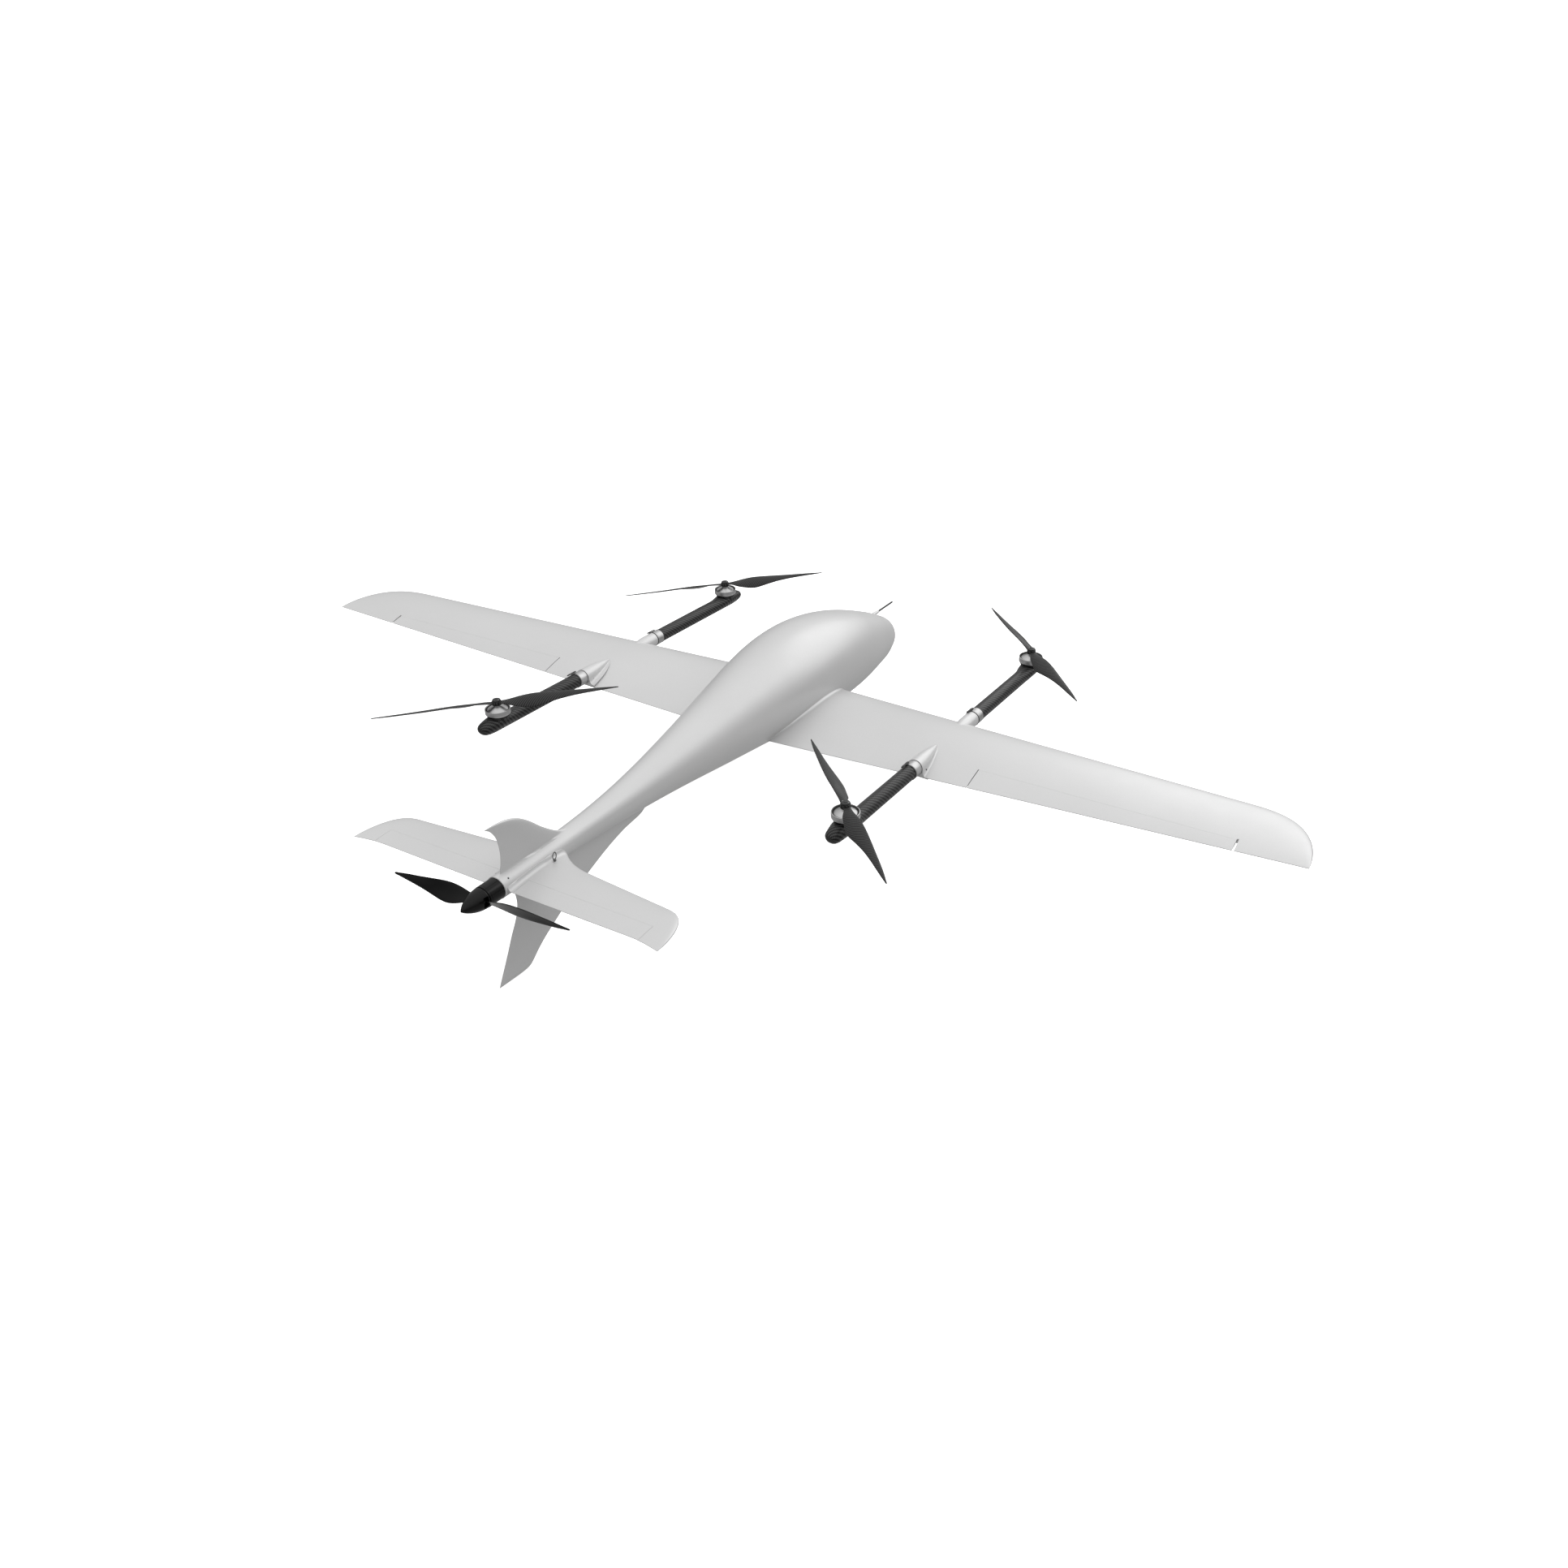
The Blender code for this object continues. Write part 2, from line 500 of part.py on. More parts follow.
# ---------------------------------------------------------------- propellers
# fraction of the radius, leading and trailing edge from the pitch axis (fractions of the radius, along the
# chord), pitch in degrees
LIFT_BLADE = [(0.03, 0.026, -0.026, 0), (0.07, 0.027, -0.034, 7), (0.10, 0.028, -0.050, 14),
              (0.16, 0.035, -0.068, 24), (0.23, 0.043, -0.082, 30), (0.30, 0.048, -0.088, 30),
              (0.38, 0.048, -0.076, 26.5), (0.50, 0.043, -0.051, 21), (0.64, 0.035, -0.031, 16),
              (0.78, 0.027, -0.020, 12.5), (0.90, 0.017, -0.012, 10), (0.97, 0.008, -0.006, 9)]
PUSH_BLADE = [(0.06, 0.036, -0.036, 42), (0.13, 0.046, -0.054, 40), (0.20, 0.060, -0.078, 37),
              (0.28, 0.072, -0.100, 33), (0.36, 0.076, -0.108, 29), (0.46, 0.070, -0.098, 25),
              (0.58, 0.057, -0.076, 20), (0.72, 0.042, -0.051, 16), (0.85, 0.029, -0.031, 13),
              (0.95, 0.015, -0.015, 11)]


def blade_rings(table, radius, thick, turn):
    """Sections of a blade that points along local +X, or -X for turn -1; local +Z is the thrust axis."""
    rings = []
    for f, le, te, pitch in table:
        c, mid, a = (le - te) * radius, (le + te) / 2 * radius, math.radians(pitch)
        t = max(thick * c, 0.0012)
        ring = []
        for i in range(8):
            b = math.pi * (2 * i + 1) / 8
            u, v = math.cos(b) * c / 2 * 1.08, math.sin(b) * t / 2
            v += 0.06 * c * (1 - (2 * u / c) ** 2)
            along, up = mid + u, v
            ring.append((turn * f * radius, turn * (along * math.cos(a) - up * math.sin(a)),
                         along * math.sin(a) + up * math.cos(a)))
        rings.append(ring)
    return rings


def make_propeller(name, mat, table, radius, thick, hub_r, hub_h, centre, rotation):
    """Two blades and a hub in one moulding."""
    half, edge = hub_h / 2, 0.0006
    hub = [(hub_r - edge, -half), (hub_r, edge - half), (hub_r, half - edge), (hub_r - edge, half)]
    prop = finish(turned(hub, (0, 0, 0), (0, 0, 1)), name, mat)
    blades = [finish(loft(blade_rings(table, radius, thick, turn), end=(turn * radius, 0, 0)), "blade")
              for turn in (1, -1)]
    for blade in blades:
        cut(prop, blade, "UNION")
    settle(prop)
    for blade in blades:
        bpy.data.objects.remove(blade, do_unlink=True)
    prop.data.transform(rotation)
    prop.location = place(centre)


for end_tag, end in ENDS.items():
    for side, side_tag in SIDES:
        tag, x0 = end_tag + "_" + side_tag, side * BOOM_X
        make_boom(tag, x0, end)
        make_collar(tag, x0, end)
        make_latch(tag, x0, end)
        make_lift_motor(tag, x0, end)
        # at rest the blades lie diagonally, tip towards the outer rear corner
        level_aft = Vector((0, math.cos(LEAN), -math.sin(LEAN)))
        blade_dir = Vector((1, 0, 0)) + side * level_aft
        make_propeller("lift_prop_" + tag, CARBON, LIFT_BLADE, LIFT_R, 0.10, LIFT_HUB_R, LIFT_HUB_H,
                       (x0, *end["hub"]), basis(blade_dir, LIFT_AXIS))


# ---------------------------------------------------------------- fins and tailplane
def plate(name, outline, half_thick, rim=0.009, edge=0.0012):
    """A fin in the centre plane: full thickness inside, thin at its rim."""
    n = len(outline)
    area = sum(outline[i - 1][0] * outline[i][1] - outline[i][0] * outline[i - 1][1] for i in range(n)) / 2
    loop = [Vector(p) for p in (outline if area > 0 else outline[::-1])]
    inner = []
    for i in range(n):
        before, after = (loop[i] - loop[i - 1]).normalized(), (loop[(i + 1) % n] - loop[i]).normalized()
        inward = Vector((-before.y - after.y, before.x + after.x))
        inner.append(loop[i] + inward / max(inward.length_squared / 2, 0.35) * rim)
    rings = [[(x, *p) for p in points] for x, points in
             ((-half_thick, inner), (-edge, loop), (edge, loop), (half_thick, inner))]
    fin = finish(loft(rings), name, WHITE)
    cut(fin, skin)
    settle(fin)


DORSAL = (curve([(0.600, 0.0500), (0.632, 0.0600), (0.670, 0.0860), (0.703, 0.1145), (0.731, 0.1340),
                 (0.760, 0.1458), (0.789, 0.1503), (0.8190, 0.1498)], 2)
          + curve([(0.8050, 0.1400), (0.7920, 0.1190), (0.7865, 0.0900), (0.7880, 0.0660),
                   (0.7920, 0.0500)], 2)
          + [(0.7920, 0.0300), (0.600, 0.0300)])
VENTRAL = (curve([(0.345, -0.0020), (0.372, -0.0245), (0.431, -0.0345), (0.506, -0.0575), (0.600, -0.0975),
                  (0.676, -0.1395), (0.706, -0.1590), (0.7275, -0.1775)], 2)
           + [(0.7366, -0.1848), (0.7440, -0.1875), (0.7520, GROUND), (0.8263, GROUND)]
           + curve([(0.7982, -0.1336), (0.7800, -0.0960), (0.7640, -0.0656), (0.7572, -0.0400),
                    (0.7590, -0.0180), (0.7640, -0.0040)], 2)
           + [(0.7640, 0.0200), (0.345, 0.0200)])
plate("dorsal_fin", DORSAL, 0.0045)
plate("ventral_fin", VENTRAL, 0.0050)


def stab_edges(x):
    """Leading and trailing edge of the tailplane at span x, with the root strake and the rounded tip."""
    x = abs(x)
    le = 0.6643 + 0.0964 * x - 0.030 * clamp((0.105 - x) / 0.081) ** 2.2
    te = 0.7995 - 0.0039 * x
    if x > STAB_TIP:
        u = (x - STAB_TIP) / (STAB_SPAN - STAB_TIP)
        te += 0.0105 * u ** 1.6
        le += (te - le) * (1 - math.sqrt(max(1 - u ** 2.9, 0)))
    return le, te


def stab_ring(x, n=9):
    le, te = stab_edges(x)
    stops = section_stops(n)
    half = [0.095 * thickness_at(s) * (te - le) + 0.0006 * s for s in stops]
    top = [(x, le + s * (te - le), STAB_Z + h) for s, h in zip(stops, half)]
    low = [(x, le + s * (te - le), STAB_Z - h) for s, h in zip(stops, half)]
    return top[::-1] + low[1:]


def elevator_block(name, side, x0, x1, front, slant):
    y, aft, hinge = ELEV_Y + front, 0.85, STAB_Z + HINGE_LIFT
    outline = [(y, 0.06), (y, hinge), (y + slant * 0.03, hinge - 0.03), (aft, hinge - 0.03), (aft, 0.06)]
    return finish(loft([[(side * x, *p) for p in outline] for x in (x0, x1)]), name)


def make_quick_pin(side, tag):
    """Quick-release pin with its pull ring, down through the root of the tailplane."""
    x, z = side * PIN_X, STAB_Z
    shaft = [(0.0015, -0.0020), (0.0015, 0.0085), (0.0030, 0.0088), (0.0030, 0.0112), (0.0024, 0.0118)]
    pin = finish(turned(shaft, (x, PIN_Y, z), (0, 0, 1), 12), "quick_pin_" + tag, SILVER, (x, PIN_Y, z))
    wide, tall, wire, foot = 0.0045, 0.0072, 0.0008, z + 0.0112
    bm = bmesh.new()
    grid = []
    for a in (2 * math.pi * i / 16 for i in range(16)):
        out = Vector((0, math.cos(a), math.sin(a)))
        c = Vector((x, PIN_Y + wide * out.y, foot + tall + tall * out.z))
        turn = (math.pi * k / 2.5 for k in range(5))
        grid.append([bm.verts.new(c + out * wire * math.cos(b) + Vector((wire * math.sin(b), 0, 0)))
                     for b in turn])
    for i in range(16):
        here, there = grid[i], grid[(i + 1) % 16]
        for j in range(5):
            k = (j + 1) % 5
            bm.faces.new((here[j], there[j], there[k], here[k]))
    cut(pin, finish(bm, "join_ring_" + tag), "UNION")
    settle(pin)


def make_tailplane(side, tag):
    root = [0.010, 0.0275, 0.0385, 0.050, 0.063, 0.081, 0.105]
    tip = [STAB_TIP + (STAB_SPAN - STAB_TIP) * f for f in (0.3, 0.52, 0.70, 0.84, 0.94, 0.985)]
    stops = root + [0.20, STAB_TIP] + tip
    stab = finish(loft([stab_ring(side * x) for x in stops]), "tailplane_" + tag, WHITE)
    cut(stab, skin)
    cut(stab, elevator_block("cut_elevator_" + tag, side, ELEV_IN, ELEV_OUT, 0.0, 0.0))
    hole = turned([(0.0020, -0.0060), (0.0020, 0.0300)], (side * PIN_X, PIN_Y, STAB_Z + 0.003), (0, 0, 1), 12)
    cut(stab, finish(hole, "cut_pin_" + tag))
    settle(stab)
    mid = (side * (ELEV_IN + ELEV_OUT) / 2, ELEV_Y, STAB_Z + HINGE_LIFT)
    rings = [stab_ring(side * x) for x in (0.020, 0.10, 0.20, STAB_TIP, 0.32, 0.335)]
    elevator = finish(loft(rings), "elevator_" + tag, WHITE, mid)
    keep = elevator_block("keep_elevator_" + tag, side, ELEV_IN + 0.0006, ELEV_OUT - 0.0006, GAP, 0.55)
    cut(elevator, keep, "INTERSECT")
    settle(elevator)
    make_quick_pin(side, tag)


for side, tag in SIDES:
    make_tailplane(side, tag)


# ---------------------------------------------------------------- tail motor, spinner, pusher propeller
def make_tail_drive():
    y0 = TAIL_Y + GAP
    can = [(TAIL_MOTOR_R - 0.0005, 0.0), (TAIL_MOTOR_R, 0.0006), (TAIL_MOTOR_R, TAIL_MOTOR_L - 0.0006),
           (TAIL_MOTOR_R - 0.0005, TAIL_MOTOR_L)]
    finish(turned(can, (0, y0, PUSH_Z), (0, 1, 0), 24), "tail_motor", BLACK)
    base = y0 + TAIL_MOTOR_L + 0.0012
    length = SPIN_TIP - base
    cone = [(SPIN_R * (1 - (k / 10) ** 1.85) ** 0.82, k / 10 * length) for k in range(10)]
    spinner = finish(turned(cone + [(0, length)], (0, base, PUSH_Z), (0, 1, 0), 24), "spinner", BLACK,
                     (0, PUSH_Y, PUSH_Z))
    blade_dir = (math.cos(PUSH_TURN), 0, math.sin(PUSH_TURN))
    turn = basis(blade_dir, (0, -1, 0))
    slot = boxed((-0.040, -0.0105, -0.0062), (0.040, 0.0105, 0.0062))
    bmesh.ops.transform(slot, matrix=Matrix.Translation((0, PUSH_Y, PUSH_Z)) @ turn, verts=slot.verts)
    cut(spinner, finish(slot, "cut_slot"))
    well = [(PUSH_HUB_R + GAP, -0.0062), (PUSH_HUB_R + GAP, 0.0062)]
    cut(spinner, finish(turned(well, (0, PUSH_Y, PUSH_Z), (0, 1, 0)), "cut_well"))
    settle(spinner)
    make_propeller("pusher_prop", BLACK, PUSH_BLADE, PUSH_R, 0.11, PUSH_HUB_R, PUSH_HUB_H,
                   (0, PUSH_Y, PUSH_Z), turn)


def make_probe():
    """Air data probe on top of the nose."""
    y, z, aim = -0.620, 0.0852, (0, -1, 0.02)
    foot = [(0.0052, 0.0), (0.0050, 0.010), (0.0036, 0.024), (0.0026, 0.026)]
    base = finish(turned(foot, (0, y, z), aim, 14), "pitot_base", WHITE)
    cut(base, skin)
    settle(base)
    finish(turned([(0.0019, 0.0), (0.0019, 0.074), (0.0014, 0.0765)], (0, y - 0.0264, z + 0.0005), aim, 10),
           "pitot_tube", DARK)


make_tail_drive()
make_probe()


# ---------------------------------------------------------------- landing bow and what the bay holds
def make_bow():
    """A springy strip under the belly, bent down to two flat ends with rubber feet."""
    half = curve([(0.0, -0.0495), (0.036, -0.0510), (0.062, -0.0620), (0.088, -0.0960), (0.114, -0.1430),
                  (0.128, -0.1680), (0.140, -0.1800), (0.156, -0.1825)], 2)
    line = [Vector((-x, z)) for x, z in half[::-1]] + [Vector(p) for p in half[1:]]
    reach, thick = 0.156, 0.0022
    rings = []
    for k, p in enumerate(line):
        t = (line[min(k + 1, len(line) - 1)] - line[max(k - 1, 0)]).normalized()
        n = Vector((-t.y, t.x)) * thick
        f = min(abs(p.x) / reach, 1)
        y, w = -0.312 - 0.085 * f ** 1.2, 0.017 - 0.006 * f
        rings.append([(q.x, y + dy, q.y) for q, dy in ((p + n, -w), (p + n, w), (p - n, w), (p - n, -w))])
    bow = finish(loft(rings), "landing_bow", CARBON)
    cut(bow, skin)
    settle(bow)
    for side, tag in SIDES:
        x0, x1 = sorted((side * 0.132, side * 0.157))
        foot = boxed((x0, -0.408, GROUND), (x1, -0.384, GROUND + 0.0030), 0.0010, 1)
        finish(foot, "landing_foot_" + tag, RUBBER)


make_bow()
finish(boxed((-0.045, -0.545, -0.020), (0.045, -0.395, 0.040), 0.006), "battery_pack", DARK)
finish(boxed((-0.055, -0.560, 0.0405), (0.055, -0.205, 0.0435)), "equipment_tray", CARBON)
finish(boxed((-0.030, -0.300, 0.0140), (0.030, -0.215, 0.0400), 0.003), "flight_controller", DARK)
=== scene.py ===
"""Fine surfaces, materials, light and camera for the fixed wing drone with vertical take-off.

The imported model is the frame. Shapes are worked out in the aircraft's design coordinates, whose zero is the
wing's trailing edge on the centre plane, and moved by OFFSET into the frame. Metres, +Z up, nose towards -Y,
+X the aircraft's left side."""

import bisect
import functools
import json
from math import copysign, cos, hypot, pi, radians, sin, sqrt

import bmesh
import bpy
import numpy as np
from mathutils import Matrix, Vector

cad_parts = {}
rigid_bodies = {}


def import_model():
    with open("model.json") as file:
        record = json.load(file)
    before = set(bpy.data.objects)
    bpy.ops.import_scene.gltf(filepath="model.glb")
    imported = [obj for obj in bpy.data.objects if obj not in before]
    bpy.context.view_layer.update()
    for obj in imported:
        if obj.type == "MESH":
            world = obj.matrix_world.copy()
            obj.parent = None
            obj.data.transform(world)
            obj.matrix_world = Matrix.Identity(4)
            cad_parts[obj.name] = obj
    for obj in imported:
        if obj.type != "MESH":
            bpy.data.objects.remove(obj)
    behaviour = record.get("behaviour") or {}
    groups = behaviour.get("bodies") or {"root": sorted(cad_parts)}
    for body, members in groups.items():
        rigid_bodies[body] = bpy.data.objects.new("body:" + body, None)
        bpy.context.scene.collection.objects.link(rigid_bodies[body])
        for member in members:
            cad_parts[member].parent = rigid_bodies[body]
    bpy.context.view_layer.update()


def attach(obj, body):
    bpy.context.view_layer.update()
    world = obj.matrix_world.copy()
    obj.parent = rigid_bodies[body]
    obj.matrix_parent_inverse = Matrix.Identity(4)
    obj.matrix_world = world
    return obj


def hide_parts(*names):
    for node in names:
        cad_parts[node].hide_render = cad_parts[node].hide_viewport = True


for old in list(bpy.data.objects):
    bpy.data.objects.remove(old, do_unlink=True)

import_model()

# ---- dimensions, in design coordinates
GROUND = -0.1885
OFFSET = Vector((0.0, -0.0548, -GROUND))
GAP = 0.0004                              # between parts that fit into each other
UP, DOWN = (0, 0, 1), (0, 0, -1)
BURIED = -0.0020                          # how far a root runs into the fuselage's skin

SPAN_HALF = 1.24984
TAPER_END = 1.25                          # where the straight taper would reach the tip chord
ROOT_CHORD, TIP_CHORD = 0.288, 0.154
INCIDENCE = radians(5.0)
TE_SWEEP, DIHEDRAL = 0.0199, 0.0506
FOIL_T, FOIL_M, FOIL_P = 0.125, 0.03, 0.4
TIP_START = 1.085
ROOT_FILLET, ROOT_END = 0.0085, 0.135     # the fillet along the fuselage, and the span where it has run out
AIL_IN, AIL_OUT = 0.5635, {1: 1.0710, -1: 1.1135}
AIL_C_IN, AIL_C_SLOPE = 0.0575, -0.051
HAIRLINE = 0.00015                        # gap at the hinge lines of the control surfaces
AIL_SLIT_IN, AIL_SLIT_OUT = 0.0020, 0.0040

# y, radius and height of the centre line
FUSELAGE = [(-0.655, 0.0450, 0.0232), (-0.620, 0.0601, 0.0273), (-0.560, 0.0766, 0.0366),
            (-0.470, 0.0962, 0.0496), (-0.360, 0.1114, 0.0630), (-0.250, 0.1162, 0.0705),
            (-0.120, 0.1096, 0.0690), (0.000, 0.0935, 0.0614), (0.120, 0.0757, 0.0520),
            (0.250, 0.0568, 0.0430), (0.400, 0.0390, 0.0335), (0.550, 0.0280, 0.0275),
            (0.660, 0.0245, 0.0252), (0.805, 0.0226, 0.0232)]
FUS_SEGS = 96
NOSE_Y, NOSE_END, TAIL_Y = -0.6866, -0.620, 0.805
NOSE_TIP_Z, NOSE_BLUNT, NOSE_REACH = 0.0225, 0.0435, 0.030
WALL, BAY_FRONT = 0.0037, -0.617
HATCH_FRONT, HATCH_REAR, HATCH_HALF, HATCH_CORNER = -0.565, -0.385, 0.050, 0.012
SPAR_Y, SPAR_Z, SPAR_R, SPAR_HALF = -0.165, 0.0275, 0.0080, 0.205

BOOM_X, BOOM_Z, TUBE_R = 0.445, 0.0426, 0.0166
COLLAR_R, SPIGOT_R, STUB_R = 0.0177, 0.0138, 0.0172
FAIRING_FRONT, STUB_REAR = -0.0887, -0.150
LATCH_LEAN = radians(22)
SIDES = ((1, "left"), (-1, "right"))
# per boom: the way it points, both ends of its collar, the hub's y and z, the toe's reach, the latch's hinge
ENDS = {"front": dict(way=-1, ring=(-0.2690, -0.2928), hub=(-0.5966, 0.0897), toe=0.066, latch=-0.257),
        "rear": dict(way=1, ring=(0.0125, 0.0368), hub=(0.3061, 0.0907), toe=0.061, latch=0.028)}
LEAN = 0.0564
LIFT_R, LIFT_HUB_R, LIFT_HUB_H = 0.2718, 0.0105, 0.0096
MOTOR_R, MOTOR_SEAT = 0.0285, -0.0290
PUSH_Y, PUSH_Z, PUSH_R, PUSH_HUB_R, PUSH_HUB_H = 0.8520, 0.0228, 0.2125, 0.0140, 0.0100
PUSH_TURN = -0.0537
TAIL_MOTOR_R, TAIL_MOTOR_L = 0.0216, 0.0372
SPIN_R, SPIN_TIP = 0.0212, 0.8982

STAB_Z, STAB_SPAN, STAB_TIP = 0.0206, 0.3655, 0.300
ELEV_Y, ELEV_IN, ELEV_OUT = 0.7560, 0.034, 0.318
HINGE_LIFT = 0.0042
PIN_X, PIN_Y = 0.0340, 0.6820

# ---- light and camera
CAMERA_PLACE = (-1.5711, 2.2824, 1.5660)
CAMERA_TILT, CAMERA_TURN, CAMERA_LENS = radians(61.866), radians(211.919), 31.746
SKY_LOW, SKY_HIGH, BOUNCE = 0.27, 1.44, 0.50            # at the horizon, overhead and from below
KEY_PLACE, KEY_TARGET = (-1.2, -3.2, 2.4), (0.0, 0.0, 0.2)
KEY_SIZE, KEY_POWER = (4.2, 3.0), 54.0
FLOOR_REACH, DOME_REACH = 60.0, 58.0


# ---- curves and sections
@functools.lru_cache(maxsize=None)
def bends(x, v):
    """Second derivatives, at its knots, of the natural cubic through (x, v)."""
    n = len(x)
    h = np.diff(x)
    a = np.eye(n)
    b = np.zeros(n)
    for i in range(1, n - 1):
        a[i, i - 1], a[i, i], a[i, i + 1] = h[i - 1], 2 * (h[i - 1] + h[i]), h[i]
        b[i] = 6 * ((v[i + 1] - v[i]) / h[i] - (v[i] - v[i - 1]) / h[i - 1])
    return tuple(np.linalg.solve(a, b))


def spline(table, col, y):
    """Natural cubic through one column of a station table."""
    x = tuple(row[0] for row in table)
    v = tuple(row[col] for row in table)
    m = bends(x, v)
    i = min(max(bisect.bisect_left(x, y) - 1, 0), len(x) - 2)
    h, t = x[i + 1] - x[i], y - x[i]
    slope = (v[i + 1] - v[i]) / h - h * (2 * m[i] + m[i + 1]) / 6
    return float(v[i] + t * slope + t * t * m[i] / 2 + t ** 3 * (m[i + 1] - m[i]) / (6 * h))


def curve(points, n):
    """Resamples a chain of control points as a smooth Catmull-Rom curve, n steps per span."""
    p = [Vector(q) for q in points]
    p = [2 * p[0] - p[1]] + p + [2 * p[-1] - p[-2]]
    out = []
    for i in range(1, len(p) - 2):
        a, b, c, d = p[i - 1:i + 3]
        for k in range(n):
            t = k / n
            out.append(tuple(0.5 * (2 * b + (c - a) * t + (2 * a - 5 * b + 4 * c - d) * t * t
                                    + (3 * b - a - 3 * c + d) * t ** 3)))
    return out + [tuple(p[-2])]


def bezier(points, t):
    """Point at t along the cubic Bezier curve of four control points."""
    weights = ((1 - t) ** 3, 3 * t * (1 - t) ** 2, 3 * t * t * (1 - t), t ** 3)
    return tuple(sum(w * p[i] for w, p in zip(weights, points)) for i in range(len(points[0])))


def clamp(v, lo=0.0, hi=1.0):
    return min(max(v, lo), hi)


def steps(lo, hi, n):
    return [lo + (hi - lo) * k / n for k in range(n + 1)]


def closing(lo, hi, n):
    """Stops between lo and hi, both left out, that get closer together towards hi."""
    return [lo + (hi - lo) * sin(pi / 2 * k / n) for k in range(1, n)]


def around(n):
    """Angles of n points round a circle."""
    return [2 * pi * i / n for i in range(n)]


def blunt(v, power):
    """v between -1 and 1, drawn towards that end: it squares off a round section."""
    return copysign(abs(v) ** power, v)


def section_stops(n):
    """Fractions of the chord, close together at both edges."""
    return [(1 - cos(pi * k / (n - 1))) / 2 for k in range(n)]


def thickness_at(s):
    """Half thickness of a four-digit section of unit thickness."""
    return 5 * (0.2969 * sqrt(s) - 0.1260 * s - 0.3516 * s ** 2 + 0.2843 * s ** 3 - 0.1036 * s ** 4)


def fillet(d, reach):
    """Height of a round fillet at distance d from the surface that it meets."""
    d = clamp(d, 0.0, reach)
    return reach - sqrt(max(reach * reach - (reach - d) ** 2, 0.0))


def basis(x_axis, z_axis):
    x, z = Vector(x_axis).normalized(), Vector(z_axis).normalized()
    return Matrix((x, z.cross(x), z)).transposed().to_4x4()


def about(axis, base):
    """Frame at base whose local Z runs along axis."""
    z = Vector(axis).normalized()
    side = z.orthogonal() if abs(z.x) > 0.9 else Vector((1, 0, 0)) - z * z.x
    return Matrix.Translation(Vector(base)) @ basis(side, z)


# ---- mesh helpers
def loft(rings, start=None, end=None):
    """A closed skin over rings of equally many points. An end is a flat face, or runs to a given point."""
    bm = bmesh.new()
    rows = [[bm.verts.new(p) for p in ring] for ring in rings]
    n = len(rows[0])
    for a, b in zip(rows[:-1], rows[1:]):
        for i in range(n):
            j = (i + 1) % n
            bm.faces.new((a[i], a[j], b[j], b[i]))
    for row, point in ((rows[0], start), (rows[-1], end)):
        if point is None:
            bm.faces.new(row)
        else:
            tip = bm.verts.new(point)
            for i in range(n):
                bm.faces.new((row[i], row[(i + 1) % n], tip))
    return bm


def turned(profile, base, axis, segs=64):
    """A solid of revolution. profile is (radius, distance along the axis); a last radius of 0 is a point."""
    local = about(axis, base)
    end = local @ Vector((0, 0, profile[-1][1])) if profile[-1][0] == 0 else None
    rings = [[local @ Vector((r * cos(a), r * sin(a), h)) for a in around(segs)]
             for r, h in profile if r > 0]
    return loft(rings, end=end)


def torus(axis, major, wire):
    """A ring of round wire about an axis through the origin."""
    local = about(axis, (0, 0, 0))
    segs, sides = 48, 12
    bm = bmesh.new()
    grid = []
    for a in around(segs):
        out = Vector((cos(a), sin(a), 0))
        points = (out * major + out * wire * cos(b) + Vector((0, 0, wire * sin(b)))
                  for b in around(sides))
        grid.append([bm.verts.new(local @ p) for p in points])
    for i in range(segs):
        here, there = grid[i], grid[(i + 1) % segs]
        for j in range(sides):
            k = (j + 1) % sides
            bm.faces.new((here[j], there[j], there[k], here[k]))
    return bm


def boxed(lo, hi, rounding=0.0, segs=4):
    bm = bmesh.new()
    bmesh.ops.create_cube(bm, size=1.0)
    bmesh.ops.scale(bm, vec=Vector(hi) - Vector(lo), verts=bm.verts)
    bmesh.ops.translate(bm, vec=(Vector(hi) + Vector(lo)) / 2, verts=bm.verts)
    if rounding:
        bmesh.ops.bevel(bm, geom=bm.edges[:], offset=rounding, segments=segs, profile=0.5, affect="EDGES")
    return bm


def tidy(bm):
    """Welds the skin, and turns its faces outwards."""
    bmesh.ops.remove_doubles(bm, verts=bm.verts, dist=2e-6)
    bmesh.ops.dissolve_degenerate(bm, edges=bm.edges, dist=1e-6)
    bmesh.ops.recalc_face_normals(bm, faces=bm.faces)
    if bm.calc_volume(signed=True) < 0:
        bmesh.ops.reverse_faces(bm, faces=bm.faces)


def add_object(name, data):
    """A new object in the scene."""
    obj = bpy.data.objects.new(name, data)
    bpy.context.scene.collection.objects.link(obj)
    return obj


def carve(bm, *cutters, how="DIFFERENCE"):
    """bm after a Boolean with each cutter in turn. It uses up bm, and leaves the cutters as they are."""
    for cutter in cutters:
        objs = []
        for part in (bm, cutter):
            tidy(part)
            mesh = bpy.data.meshes.new("work")
            part.to_mesh(mesh)
            objs.append(add_object("work", mesh))
        bm.free()
        mod = objs[0].modifiers.new("boolean", "BOOLEAN")
        mod.operation = how
        mod.solver = "EXACT"
        mod.object = objs[1]
        bpy.context.view_layer.update()
        bm = bmesh.new()
        bm.from_object(objs[0], bpy.context.evaluated_depsgraph_get())
        for obj in objs:
            mesh = obj.data
            bpy.data.objects.remove(obj, do_unlink=True)
            bpy.data.meshes.remove(mesh)
    return bm


